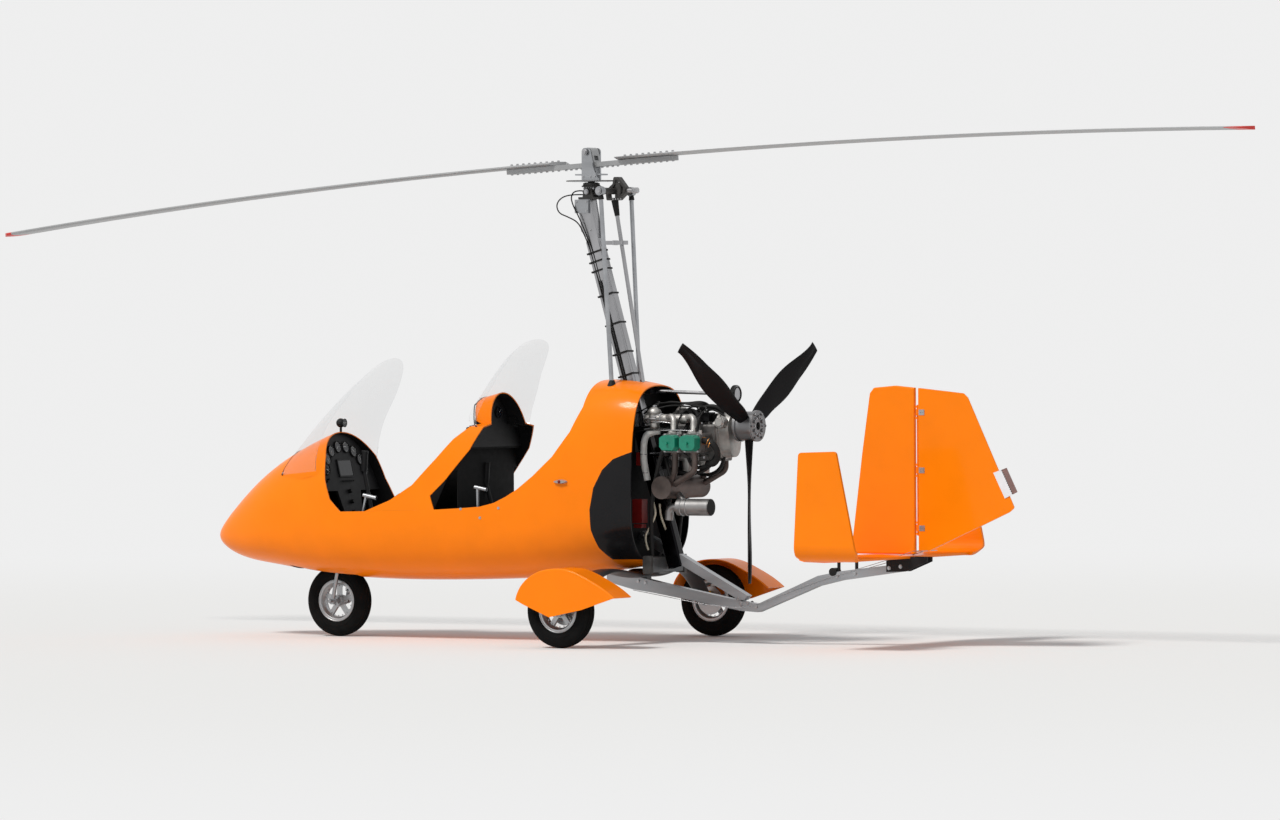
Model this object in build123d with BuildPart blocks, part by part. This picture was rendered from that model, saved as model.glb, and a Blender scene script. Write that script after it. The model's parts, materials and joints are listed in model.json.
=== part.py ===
from build123d import *
from math import atan2, cos, degrees, hypot, radians, sin
import os

# Two-seat open gyrocopter. Millimetres. X runs aft, Y to starboard and Z up.
# The origin is on the ground under the centre of the rotor.

# Overall sizes
ROTOR_R = 4200
PROP_R = 855
TRACK_HALF = 827
MAIN_X = 287
NOSE_X = -1653
WHEEL_R = 200
TYRE_W = 100
RIM_R = 112
TAIL_HALF = 722

# Walls and clearances
SHELL_T = 6
SCREEN_T = 4
SHEET_T = 4
TUBE_T = 3
GAP = 0.3
RUNNING = 0.05
SWING_GAP = 5
WIDE = 500

# Fuselage skin: x, half width, z bottom, z widest, z top, lower and upper fullness
HULL_ROWS = (
    (-2438, 10, 549, 560, 572, 0.56, 0.56),
    (-2405, 72, 510, 562, 618, 0.58, 0.56),
    (-2296, 152, 450, 570, 734, 0.60, 0.58),
    (-2130, 224, 412, 586, 882, 0.62, 0.60),
    (-1880, 292, 376, 606, 1040, 0.64, 0.62),
    (-1600, 338, 342, 622, 1158, 0.66, 0.64),
    (-1150, 362, 326, 632, 1270, 0.66, 0.64),
    (-550, 368, 336, 640, 1375, 0.66, 0.66),
    (-50, 364, 366, 662, 1428, 0.66, 0.72),
    (200, 350, 396, 684, 1436, 0.66, 0.79),
    (425, 318, 430, 704, 1406, 0.66, 0.83),
)
HULL_END = HULL_ROWS[-1][0]

# Side view lines shared by the skin, the fairing and the screens
RIM = ((-1700, 1600), (-1642, 1150), (-1575, 1010), (-1545, 880), (-1500, 775), (-1425, 708))
SILL = ((-1232, 712), (-805, 724), (-641, 733), (-507, 743), (-418, 764))
COWL_EDGE = ((-344, 797), (-271, 839), (-173, 913), (-57, 1018), (43, 1154), (100, 1289), (112, 1600))
PANEL_OUTLINE = (
    (HULL_END, 1046), (322, 1008), (258, 948), (207, 850), (185, 731),
    (190, 622), (218, 524), (261, 459), (HULL_END, 459),
)

# Nose wheel well
WELL_X0, WELL_X1 = -1890, -1440
WELL_HALF = 150
WELL_LOW, WELL_TOP = 330, 470

# Mast line in side view
MAST_FOOT = (492, 560)
MAST_TOP = (20, 2200)
MAST_W = 60
MAST_D = 90
MAST_TAIL = 150
MAST_RUN = hypot(MAST_FOOT[0] - MAST_TOP[0], MAST_TOP[1] - MAST_FOOT[1])
mast_base = Plane(
    origin=(MAST_FOOT[0], 0, MAST_FOOT[1]),
    x_dir=(MAST_TOP[1] - MAST_FOOT[1], 0, MAST_FOOT[0] - MAST_TOP[0]),
    z_dir=(MAST_TOP[0] - MAST_FOOT[0], 0, MAST_TOP[1] - MAST_FOOT[1]),
)


def mast_x(z):
    """Centre of the mast at a height."""
    return MAST_FOOT[0] + (MAST_TOP[0] - MAST_FOOT[0]) * (z - MAST_FOOT[1]) / (MAST_TOP[1] - MAST_FOOT[1])


def oval_loft(rows, inset=0.0):
    """Solid through the oval sections of a table, each of four smooth quarters."""
    sections = []
    for x, half, low, wide, top, k_low, k_up in rows:
        w = half - inset
        up = top - wide - inset
        down = low - wide + inset
        with BuildSketch(Plane.YZ.offset(x)) as section:
            with BuildLine():
                Bezier((w, wide), (w, wide + k_up * up), (k_up * w, wide + up), (0, wide + up))
                Bezier((0, wide + up), (-k_up * w, wide + up), (-w, wide + k_up * up), (-w, wide))
                Bezier((-w, wide), (-w, wide + k_low * down), (-k_low * w, wide + down), (0, wide + down))
                Bezier((0, wide + down), (k_low * w, wide + down), (w, wide + k_low * down), (w, wide))
            make_face()
        sections.append(section.sketch)
    loft(sections)


def side_prism(points, y0, y1, mode=Mode.ADD):
    """Prism of a side view outline between two Y stations."""
    with BuildSketch(Plane.XZ.offset(-y0)) as profile:
        with BuildLine():
            Polyline(*points, close=True)
        make_face()
    extrude(profile.sketch, amount=y0 - y1, mode=mode)


def rounded_prism(points, y0, y1, radius, mode=Mode.ADD):
    """The same with rounded corners, by one radius or a list."""
    with BuildSketch(Plane.XZ.offset(-y0)) as profile:
        with BuildLine():
            FilletPolyline(*points, radius=radius, close=True)
        make_face()
    extrude(profile.sketch, amount=y0 - y1, mode=mode)


def bar(start, end, radius, mode=Mode.ADD):
    """Round bar between two points."""
    run = Vector(*end) - Vector(*start)
    with BuildSketch(Plane(origin=start, z_dir=run)) as section:
        Circle(radius)
    extrude(section.sketch, amount=run.length, mode=mode)


def bent_bar(points, radius, bend, mode=Mode.ADD):
    """Round bar along a bent centre line."""
    with BuildLine() as route:
        FilletPolyline(*points, radius=bend)
    with BuildSketch(route.line ^ 0) as section:
        Circle(radius)
    sweep(section.sketch, path=route.line, mode=mode)


def block(x0, x1, half, z0, z1, mode=Mode.ADD):
    """Box across the centre plane."""
    with Locations(((x0 + x1) / 2, 0, (z0 + z1) / 2)):
        Box(x1 - x0, 2 * half, z1 - z0, mode=mode)


os.makedirs("parts", exist_ok=True)

# Skin: outside and inside bodies that trim what meets them
with BuildPart() as hull_outer:
    oval_loft(HULL_ROWS)
with BuildPart() as hull_void:
    oval_loft((*HULL_ROWS[1:-1], (HULL_END + 1, *HULL_ROWS[-1][1:])), SHELL_T)

MAST_SLOT_X0, MAST_SLOT_X1 = 171, 345
MAST_SLOT_HALF = MAST_W / 2 + 15
with BuildPart() as fuselage_shell:
    add(hull_outer.part)
    add(hull_void.part, mode=Mode.SUBTRACT)
    side_prism((*RIM, *SILL, *COWL_EDGE), -WIDE, WIDE, Mode.SUBTRACT)
    side_prism(PANEL_OUTLINE, -WIDE, -WIDE / 3, Mode.SUBTRACT)
    side_prism(PANEL_OUTLINE, WIDE / 3, WIDE, Mode.SUBTRACT)
    block(WELL_X0, WELL_X1, WELL_HALF, WELL_LOW, WELL_TOP, Mode.SUBTRACT)
    block(MAST_SLOT_X0, MAST_SLOT_X1, MAST_SLOT_HALF, 1360, 1480, Mode.SUBTRACT)
fuselage_shell.part.label = "fuselage_shell"
export_step(fuselage_shell.part, "parts/fuselage_shell.step")

# Gloss side panels, flush in the skin beside the engine
with BuildPart() as side_panels:
    side_prism(PANEL_OUTLINE, -WIDE, -WIDE / 3)
    side_prism(PANEL_OUTLINE, WIDE / 3, WIDE)
    add(hull_outer.part, mode=Mode.INTERSECT)
    add(hull_void.part, mode=Mode.SUBTRACT)
side_panels.part.label = "side_panels"
export_step(side_panels.part, "parts/side_panels.step")

# Fairing between the seats: x, half width, z widest, z of the hood's crown
FAIRING_ROWS = (
    (-1290, 359, 634, 1240),
    (-690, 366, 638, 1338),
    (-500, 367, 640, 1386),
)
FAIRING_LOW = 560
SHOULDER = (268, 1180)
LEDGE = (185, 1196)
FAIRING_FRONT = (
    (-1258, 712), (-1094, 774), (-952, 859), (-811, 1003), (-715, 1111),
    (-604, 1197), (-640, 1210), (-690, 1330), (-700, 1600),
)
FAIRING_REAR = (
    (-575, 1600), (-575, 1365), (-538, 1180), (-600, 1052), (-741, 884), (-833, 800), (-805, 724),
)


def fairing_loft(inset):
    """Shoulders with a raised hood between them, through three sections."""
    sections = []
    for x, half, wide, crown in FAIRING_ROWS:
        w = half - inset
        sy, sz = SHOULDER[0] - inset, SHOULDER[1] - inset
        ly, lz = LEDGE[0] - inset, LEDGE[1] - inset
        top = crown - inset
        with BuildSketch(Plane.YZ.offset(x)) as section:
            with BuildLine():
                for side in (-1, 1):
                    Line((0, FAIRING_LOW), (side * w, FAIRING_LOW))
                    Line((side * w, FAIRING_LOW), (side * w, wide))
                    Bezier((side * w, wide), (side * w, wide + 245), (side * (w - 40), sz - 90), (side * sy, sz))
                    Line((side * sy, sz), (side * ly, lz))
                    Bezier((side * ly, lz), (side * 0.84 * ly, top - 60), (side * 0.45 * ly, top), (0, top))
            make_face()
        sections.append(section.sketch)
    loft(sections)


with BuildPart() as fairing_outer:
    fairing_loft(0)
with BuildPart() as fairing_void:
    fairing_loft(SHELL_T)
with BuildPart() as mid_fairing:
    side_prism((*FAIRING_FRONT, *FAIRING_REAR), -WIDE, WIDE)
    add(fairing_outer.part, mode=Mode.INTERSECT)
    add(fairing_void.part, mode=Mode.SUBTRACT)
mid_fairing.part.label = "mid_fairing"
export_step(mid_fairing.part, "parts/mid_fairing.step")

# Screens: leaning tubes of clear sheet. z, x of the foremost point, radius
FRONT_SCREEN_ROWS = (
    (900, -1990, 310),
    (1100, -1822, 316),
    (1330, -1592, 292),
    (1562, -1270, 285),
)
REAR_SCREEN_ROWS = (
    (1180, -795, 275),
    (1275, -725, 316),
    (1362, -663, 300),
    (1463, -590, 270),
    (1660, -345, 250),
)
# Trailing edge of each screen in side view, top to bottom
FRONT_SCREEN_EDGE = ((-1268, 1572), (-1344, 1473), (-1449, 1323), (-1536, 1196), (-1579, 1099), (-1609, 930))
REAR_SCREEN_EDGE = ((-342, 1670), (-411, 1556), (-465, 1463), (-513, 1362), (-555, 1275), (-577, 1178))
SCREENS = (
    # label, rows, trailing edge, front limit in side view, body that it stands on
    ("front_windshield", FRONT_SCREEN_ROWS, FRONT_SCREEN_EDGE, ((-2050, 890), (-2050, 1572)), hull_outer),
    ("rear_windshield", REAR_SCREEN_ROWS, REAR_SCREEN_EDGE,
     ((-606, 1178), (-645, 1215), (-694, 1330), (-700, 1670)), fairing_outer),
)
for label, rows, edge, front, carrier in SCREENS:
    with BuildPart() as screen:
        for inset, mode in ((0, Mode.ADD), (SCREEN_T, Mode.SUBTRACT)):
            sections = []
            for z, x, radius in rows:
                with BuildSketch(Plane((x + radius, 0, z))) as section:
                    Circle(radius - inset)
                sections.append(section.sketch)
            loft(sections, mode=mode)
        with BuildSketch(Plane.XZ.offset(WIDE)) as side_view:
            with BuildLine():
                Spline(*edge)
                Polyline(edge[-1], *front, edge[0])
            make_face()
        extrude(side_view.sketch, amount=-2 * WIDE, mode=Mode.INTERSECT)
        add(carrier.part, mode=Mode.SUBTRACT)
    screen.part.label = label
    export_step(screen.part, f"parts/{label}.step")

# Cockpit floor and bulkheads
FIREWALL_X = 292
FLOOR_Z = 400
FLOOR_T = 5
FLOOR_TOP = FLOOR_Z + FLOOR_T
with BuildPart() as firewall:
    with BuildSketch(Plane.YZ.offset(FIREWALL_X)):
        Rectangle(2 * WIDE, 6 * WIDE)
    extrude(amount=SHEET_T)
    add(hull_void.part, mode=Mode.INTERSECT)
    block(FIREWALL_X - 30, FIREWALL_X + 30, MAST_SLOT_HALF, 1040, 1500, Mode.SUBTRACT)
firewall.part.label = "firewall"
export_step(firewall.part, "parts/firewall.step")

with BuildPart() as cabin_floor:
    with Locations(((FIREWALL_X - 2050) / 2, 0, FLOOR_Z + FLOOR_T / 2)):
        Box(FIREWALL_X + 2050 - 2 * GAP, 2 * WIDE, FLOOR_T)
    add(hull_void.part, mode=Mode.INTERSECT)
    block(WELL_X0, WELL_X1, WELL_HALF, FLOOR_Z - 20, FLOOR_Z + 20, Mode.SUBTRACT)
cabin_floor.part.label = "cabin_floor"
export_step(cabin_floor.part, "parts/cabin_floor.step")

# Instrument panel with its bezels on an arch
PANEL_X, PANEL_Z = -1606, 900
PANEL_LEAN = 0.237
PANEL_T = 16
DIAL_R = 30
panel_face = Plane(origin=(PANEL_X, 0, PANEL_Z), x_dir=(0, 1, 0), z_dir=(1, 0, PANEL_LEAN))
with BuildPart() as instrument_panel:
    with BuildSketch(panel_face):
        with BuildLine():
            Polyline(
                (-380, -85), (-120, -85), (-80, -260), (80, -260), (120, -85), (380, -85),
                (380, 400), (-380, 400), close=True,
            )
        make_face()
    extrude(amount=-PANEL_T)
    add(hull_void.part, mode=Mode.INTERSECT)
    with BuildSketch(panel_face):
        for angle in range(8, 180, 23):
            with Locations((200 * cos(radians(angle)), 8 + 158 * sin(radians(angle)))):
                Circle(DIAL_R + 4)
        with Locations((0, 42)):
            RectangleRounded(150, 104, 8)
    extrude(amount=8)
    with BuildSketch(panel_face.offset(8)):
        for angle in range(8, 180, 23):
            with Locations((200 * cos(radians(angle)), 8 + 158 * sin(radians(angle)))):
                Circle(DIAL_R)
        with Locations((0, 42)):
            RectangleRounded(134, 88, 5)
    extrude(amount=-3, mode=Mode.SUBTRACT)
instrument_panel.part.label = "instrument_panel"
export_step(instrument_panel.part, "parts/instrument_panel.step")

REAR_PANEL_X = -650
with BuildPart() as rear_panel:
    with BuildSketch(Plane.YZ.offset(REAR_PANEL_X)):
        with Locations((0, 1230)):
            Rectangle(2 * WIDE, 330)
    extrude(amount=SHEET_T)
    add(fairing_void.part, mode=Mode.INTERSECT)
    with BuildSketch(Plane.YZ.offset(REAR_PANEL_X + SHEET_T)):
        with Locations((-62, 1255), (62, 1255)):
            Circle(DIAL_R + 3)
    extrude(amount=6)
rear_panel.part.label = "rear_panel"
export_step(rear_panel.part, "parts/rear_panel.step")

COMPASS = (-1640, 1194)
with BuildPart() as compass:
    with Locations((COMPASS[0], 0, COMPASS[1])):
        Sphere(26)
    bar((COMPASS[0], 0, COMPASS[1] - 75), (COMPASS[0], 0, COMPASS[1] - 20), 7)
    add(hull_outer.part, mode=Mode.SUBTRACT)
compass.part.label = "compass"
export_step(compass.part, "parts/compass.step")

# Seats: front lip, hip and shoulder of each moulded shell in side view, and its half width
SEATS = (
    ("front_seat", (-1404, 496), (-1048, 429), (-723, 1074), 215),
    ("rear_seat", (-574, 566), (-166, 494), (92, 1111), 205),
)
SEAT_T = 12
SEAT_BEND = 100
PAD_T = 42
PAD_INSET = 30
seat_shells = []
for label, lip, hip, shoulder, half in SEATS:
    with BuildPart() as seat:
        with BuildSketch(Plane.XZ) as side_view:
            with BuildLine():
                FilletPolyline(lip, hip, shoulder, radius=SEAT_BEND)
                offset(amount=SEAT_T / 2, side=Side.BOTH)
            make_face()
        extrude(side_view.sketch, amount=half, both=True)
        for side in (-1, 1):
            y0, y1 = sorted((side * half, side * (half - SEAT_T)))
            rounded_prism(
                (lip, hip, shoulder, (shoulder[0] - 70, shoulder[1] - 10), (hip[0] - 60, hip[1] + 150),
                 (lip[0] + 20, lip[1] + 60)), y0, y1, 18,
            )
    seat.part.label = label
    export_step(seat.part, f"parts/{label}.step")
    seat_shells.append(seat.part)

# Pads on the pan and on the back, each running from its free edge to short of the bend
PAD_START = 15
PAD_END = 88
with BuildPart() as seat_cushions:
    for label, lip, hip, shoulder, half in SEATS:
        for start, end in ((lip, hip), (shoulder, hip)):
            dx, dz = end[0] - start[0], end[1] - start[1]
            run = hypot(dx, dz)
            up = (-dz, 0, dx) if dx > 0 else (dz, 0, -dx)
            along = Plane(origin=(start[0], 0, start[1]), x_dir=(dx, 0, dz), z_dir=up)
            with BuildSketch(along.offset(SEAT_T / 2 + GAP)) as pad:
                with Locations(((PAD_START + run - PAD_END) / 2, 0)):
                    RectangleRounded(run - PAD_START - PAD_END, 2 * (half - PAD_INSET), 24)
            extrude(pad.sketch, amount=PAD_T)
seat_cushions.part.label = "seat_cushions"
export_step(seat_cushions.part, "parts/seat_cushions.step")

with BuildPart() as seat_boxes:
    for label, lip, hip, shoulder, half in SEATS:
        front, rear = lip[0] + 30, hip[0] - 110
        slope = (hip[1] - lip[1]) / (hip[0] - lip[0])
        side_prism(
            ((front, FLOOR_TOP), (rear, FLOOR_TOP), (rear, lip[1] + slope * (rear - lip[0])),
             (front, lip[1] + slope * (front - lip[0]))), 20 - half, half - 20,
        )
    for shell in seat_shells:
        add(shell, mode=Mode.SUBTRACT)
seat_boxes.part.label = "seat_boxes"
export_step(seat_boxes.part, "parts/seat_boxes.step")

# Controls
STICK_R = 11
GRIP_R = 18
with BuildPart() as control_sticks:
    for x, z, knee, grip_z in ((-1530, WELL_TOP, 92, 930), (-700, FLOOR_TOP, 60, 870)):
        with Locations((x, 0, z + 8)):
            Cylinder(2 * STICK_R, 16)
        bent_bar(((x, 0, z + 10), (x + knee, 0, 700), (x + knee - 50, 0, grip_z)), STICK_R, 60)
        bar((x + knee - 50, 0, grip_z - 5), (x + knee - 42, 0, grip_z + 108), GRIP_R)
control_sticks.part.label = "control_sticks"
export_step(control_sticks.part, "parts/control_sticks.step")

LEVER_Y = -300
with BuildPart() as sill_levers:
    for x in (-1310, -557):
        with Locations((x, LEVER_Y - 45, 680)):
            Box(70, 90, 30)
    bar((-1310, LEVER_Y, 680), (-1285, LEVER_Y, 792), 8)
    bar((-557, LEVER_Y, 680), (-560, LEVER_Y, 842), 8)
    bar((-576, LEVER_Y, 849), (-492, LEVER_Y, 833), 11)
    add(hull_void.part, mode=Mode.INTERSECT)
    add(fairing_outer.part, mode=Mode.INTERSECT)
sill_levers.part.label = "sill_levers"
export_step(sill_levers.part, "parts/sill_levers.step")

PEDAL_X = -1930
with BuildPart() as rudder_pedals:
    for y in (-85, 85):
        bar((PEDAL_X, y, FLOOR_TOP + 3), (PEDAL_X - 30, y, 590), 9)
        with Locations((PEDAL_X - 30, y, 590)):
            Box(20, 80, 40)
    bar((PEDAL_X, -105, FLOOR_TOP + 10), (PEDAL_X, 105, FLOOR_TOP + 10), 10)
    add(hull_void.part, mode=Mode.INTERSECT)
rudder_pedals.part.label = "rudder_pedals"
export_step(rudder_pedals.part, "parts/rudder_pedals.step")

# Frame outlines below and behind the engine, in side view
BEAM_W = 50
JOINT = (952, 234)
BRACE_OUTLINE = ((FIREWALL_X + 5, 566), (FIREWALL_X + 29, 612), (986, 264), (962, 240), (930, 241))
KEEL_OUTLINE = (
    (100, 330), (100, 383), (262, 365), (494, 318), JOINT, (JOINT[0] - 7, 182), (494, 259), (262, 290),
)
BOOM_OUTLINE = (
    (JOINT[0] + GAP, JOINT[1]), (JOINT[0] + GAP - 7, 182), (1048, 176), (1420, 323), (1561, 355),
    (1950, 409), (1950, 453), (1843, 439), (1562, 405), (1420, 378), (1048, 221),
)


def hollow_beam(points, end):
    """Rectangular tube bent in side view, open at one end."""
    side_prism(points, -BEAM_W / 2, BEAM_W / 2)
    inner = BEAM_W - 2 * TUBE_T
    with BuildSketch(Plane.XZ.offset(inner / 2)) as core:
        with BuildLine():
            Polyline(*points, close=True)
        make_face()
        offset(amount=-TUBE_T)
    extrude(core.sketch, amount=-inner, mode=Mode.SUBTRACT)
    with Locations((end[0], 0, end[1])):
        Box(4 * TUBE_T, inner, inner - 4 * TUBE_T, mode=Mode.SUBTRACT)


with BuildPart() as brace_body:
    side_prism(BRACE_OUTLINE, -BEAM_W / 2, BEAM_W / 2)
with BuildPart() as tail_boom:
    hollow_beam(BOOM_OUTLINE, (1950, 431))
tail_boom.part.label = "tail_boom"
export_step(tail_boom.part, "parts/tail_boom.step")

with BuildPart() as keel_tube:
    hollow_beam(KEEL_OUTLINE, (100, 356))
    add(hull_outer.part, mode=Mode.SUBTRACT)
keel_tube.part.label = "keel_tube"
export_step(keel_tube.part, "parts/keel_tube.step")

with BuildPart() as keel_brace:
    hollow_beam(BRACE_OUTLINE, (FIREWALL_X + 17, 589))
    side_prism(BOOM_OUTLINE, -BEAM_W / 2, BEAM_W / 2, Mode.SUBTRACT)
    side_prism(KEEL_OUTLINE, -BEAM_W / 2, BEAM_W / 2, Mode.SUBTRACT)
keel_brace.part.label = "keel_brace"
export_step(keel_brace.part, "parts/keel_brace.step")

# Mast: a rounded tube whose foot stands on the brace
with BuildPart() as mast_body:
    with BuildSketch(mast_base.offset(-MAST_TAIL)):
        RectangleRounded(MAST_D, MAST_W, 10)
    extrude(amount=MAST_RUN + MAST_TAIL)
with BuildPart() as mast_tube:
    add(mast_body.part)
    with BuildSketch(mast_base.offset(-MAST_TAIL)):
        RectangleRounded(MAST_D - 2 * TUBE_T, MAST_W - 2 * TUBE_T, 7)
    extrude(amount=MAST_RUN + MAST_TAIL, mode=Mode.SUBTRACT)
    add(brace_body.part, mode=Mode.SUBTRACT)
with BuildPart() as mast:
    add(mast_tube.solids().sort_by(Axis.Z)[-1])
mast.part.label = "mast"
export_step(mast.part, "parts/mast.step")

# Cheeks that carry the rotor head on the mast, and the guide of the spin-up shaft
HEAD_Z = 2425
CHEEK_T = 6
SHAFT_HEAD = (147, 2426)
SHAFT_KNEE = (322, 1420)
GUIDE_Z0, GUIDE_Z1 = 2174, 2196
guide_mid = (GUIDE_Z0 + GUIDE_Z1) / 2
shaft_at_guide = SHAFT_HEAD[0] + (SHAFT_KNEE[0] - SHAFT_HEAD[0]) * (SHAFT_HEAD[1] - guide_mid) / (
    SHAFT_HEAD[1] - SHAFT_KNEE[1])
SPIN_R = 11
with BuildPart() as mast_plates:
    for y in (-MAST_W / 2 - CHEEK_T, MAST_W / 2):
        rounded_prism(
            ((-62, HEAD_Z), (12, HEAD_Z), (30, 2330), (62, 2200), (118, 1990), (70, 1975), (-20, 2240), (-62, 2350)),
            y, y + CHEEK_T, 5,
        )
    side_prism(
        ((-50, 2250), (-18, 2218), (42, 2218), (28, 2325), (10, HEAD_Z), (-58, HEAD_Z), (-58, 2350)),
        -MAST_W / 2, MAST_W / 2,
    )
    with BuildSketch(Plane.XY.offset(GUIDE_Z0)) as guide:
        with BuildLine():
            FilletPolyline((20, -22), (222, -22), (222, 22), (20, 22), close=True, radius=8)
        make_face()
        with Locations((shaft_at_guide, 0)):
            Circle(SPIN_R + 3, mode=Mode.SUBTRACT)
    extrude(guide.sketch, amount=GUIDE_Z1 - GUIDE_Z0)
    add(mast_body.part, mode=Mode.SUBTRACT)
mast_plates.part.label = "mast_plates"
export_step(mast_plates.part, "parts/mast_plates.step")

# Rotor head: fork, gimbal block, bearing, torque arm, cross bar and spin-up gear case
ROTOR_YAW = -5.05
RING_Z = 2522
RING_T = 6
RING_R = 136
SPINDLE_R = 20
CROSS_X, CROSS_Z = 155, 2467
CROSS_R = 18
ROD_Y = 165
ROD_R = 12
FORK_HALF = 42
PIVOT_Z = 2466
yaw = radians(ROTOR_YAW)
with BuildPart() as rotor_gimbal:
    block(-60, 40, FORK_HALF, HEAD_Z, HEAD_Z + 12)
    for y in (-FORK_HALF, FORK_HALF - 10):
        rounded_prism(((-34, HEAD_Z + 6), (34, HEAD_Z + 6), (24, 2486), (-24, 2486)), y, y + 10, [1, 1, 14, 14])
    block(-30, 30, FORK_HALF - 12, PIVOT_Z - 18, RING_Z - 28)
    bar((0, -FORK_HALF - 14, PIVOT_Z), (0, FORK_HALF + 14, PIVOT_Z), 9)
    for y in (-FORK_HALF - 8, FORK_HALF):
        bar((0, y, PIVOT_Z), (0, y + 8, PIVOT_Z), 15)
    bar((-52, 0, PIVOT_Z), (52, 0, PIVOT_Z), 8)
    with BuildSketch(Plane.XZ) as bearing:
        with BuildLine():
            Polyline(
                (0, RING_Z - 30), (54, RING_Z - 30), (54, RING_Z - 23), (46, RING_Z - 21), (46, RING_Z - 9),
                (34, RING_Z - SWING_GAP), (SPINDLE_R - RUNNING, RING_Z - SWING_GAP),
                (SPINDLE_R - RUNNING, RING_Z + RING_T), (0, RING_Z + RING_T), close=True,
            )
        make_face()
    revolve(bearing.sketch, axis=Axis.Z)
    with BuildSketch(Plane.XY.offset(RING_Z - 30)) as flange_bolts:
        with PolarLocations(50, 6):
            RegularPolygon(5, 6)
    extrude(flange_bolts.sketch, amount=12)
    rounded_prism(((18, 2452), (18, 2480), (CROSS_X, 2480), (CROSS_X, 2452)), -24, 24, 3)
    bar((CROSS_X, -ROD_Y - 20, CROSS_Z), (CROSS_X, ROD_Y + 20, CROSS_Z), CROSS_R)
    with BuildSketch(Plane.XZ.offset(20)) as gear_case:
        with BuildLine():
            FilletPolyline(
                (107, 2417), (184, 2417), (222, 2450), (226, 2490), (182, 2545), (152, 2545), (146, 2508), (100, 2470),
                close=True, radius=8,
            )
        make_face()
        offset(amount=-14, mode=Mode.SUBTRACT)
    extrude(gear_case.sketch, amount=-40)
    with Locations((176, 0, 2468)):
        Cylinder(23, 92)
rotor_gimbal.part.label = "rotor_gimbal"
export_step(rotor_gimbal.part, "parts/rotor_gimbal.step")

ROD_FOOT = (215, 1330)
with BuildPart() as control_rods:
    for y in (-ROD_Y, ROD_Y):
        bar((ROD_FOOT[0], y * 0.9, ROD_FOOT[1]), (CROSS_X, y, CROSS_Z), ROD_R)
        bar((CROSS_X, y - 16, CROSS_Z), (CROSS_X, y + 16, CROSS_Z), CROSS_R + 7)
        bar((CROSS_X, y - 17, CROSS_Z), (CROSS_X, y + 17, CROSS_Z), CROSS_R + RUNNING, Mode.SUBTRACT)
    add(hull_outer.part, mode=Mode.SUBTRACT)
control_rods.part.label = "control_rods"
export_step(control_rods.part, "parts/control_rods.step")

# Rotor tower: ring, two cheeks set opposite ways round, teeter bolt and stop plate
TEETER_Z = 2682
TOWER_Y = 40
TOWER_T = 12
BOLT_R = 8
STOP_Z = 2556
tower_x = (cos(yaw), sin(yaw), 0)
with BuildPart() as rotor_tower:
    with BuildSketch(Plane(origin=(0, 0, RING_Z), x_dir=tower_x)):
        Circle(RING_R)
        Circle(SPINDLE_R, mode=Mode.SUBTRACT)
        with PolarLocations(95, 8, 22.5):
            Circle(18, mode=Mode.SUBTRACT)
    extrude(amount=RING_T)
    for side in (-1, 1):
        cheek_plane = Plane(
            origin=(0, 0, 0), x_dir=(-side * cos(yaw), -side * sin(yaw), 0), z_dir=(-side * sin(yaw), side * cos(yaw), 0),
        )
        with BuildSketch(cheek_plane.offset(TOWER_Y)) as cheek:
            with BuildLine():
                FilletPolyline(
                    (-29, RING_Z + RING_T), (-28, 2706), (20, 2706), (48, 2600), (82, RING_Z + RING_T),
                    close=True, radius=[1, 22, 20, 60, 1],
                )
            make_face()
        extrude(cheek.sketch, amount=TOWER_T)
    teeter_line = Plane(origin=(0, 0, TEETER_Z), x_dir=tower_x, z_dir=(-sin(yaw), cos(yaw), 0))
    with Locations(teeter_line):
        Cylinder(BOLT_R, 2 * (TOWER_Y + TOWER_T) + 20)
    with BuildSketch(Plane(origin=(0, 0, STOP_Z), x_dir=tower_x)) as stop_plate:
        RectangleRounded(170, 2 * TOWER_Y, 6)
    extrude(stop_plate.sketch, amount=8)
rotor_tower.part.label = "rotor_tower"
export_step(rotor_tower.part, "parts/rotor_tower.step")

# Rotor: local x runs out along the aft blade, z up through the teeter bolt
TEETER_REST = 3.15
UNDERSLING = 70
PRECONE = 0.004
BLADE_CURVE_R = 60000
BLADE_ROOT = 190
CHORD = 200
NOSE_SHARE = 0.3
BLADE_T = 20
BAR_END = 560
BAR_W = 60
BAR_H = 26
BLOCK_HALF = 34
tilt = radians(TEETER_REST)
rotor_flat = Plane(
    origin=(0, 0, TEETER_Z),
    x_dir=(cos(yaw) * cos(tilt), sin(yaw) * cos(tilt), sin(tilt)),
    z_dir=(-cos(yaw) * sin(tilt), -sin(yaw) * sin(tilt), cos(tilt)),
)
with BuildPart() as hub_body:
    with BuildSketch(Plane(origin=(0, 0, -UNDERSLING), x_dir=(0, 1, 0), z_dir=(1, 0, PRECONE))):
        Rectangle(BAR_W, BAR_H)
    bar_axis = Axis((PRECONE * BLADE_CURVE_R, 0, -UNDERSLING - BLADE_CURVE_R), (0, 1, 0))
    revolve(axis=bar_axis, revolution_arc=degrees(BAR_END / BLADE_CURVE_R))
    mirror(about=Plane.YZ)
    with BuildSketch(Plane.XZ.offset(BLOCK_HALF)) as cheeks:
        Circle(26)
        with Locations((0, -UNDERSLING)):
            Rectangle(74, BAR_H)
        make_hull()
    extrude(cheeks.sketch, amount=-2 * BLOCK_HALF)
    with BuildSketch(Plane.YZ.offset(-60)) as window:
        with Locations((0, -33)):
            RectangleRounded(38, 26, 4)
    extrude(window.sketch, amount=120, mode=Mode.SUBTRACT)
    with Locations(Plane.XZ):
        Cylinder(BOLT_R + GAP, 4 * BLOCK_HALF, mode=Mode.SUBTRACT)
hub_bar = rotor_flat.location * hub_body.part
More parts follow.
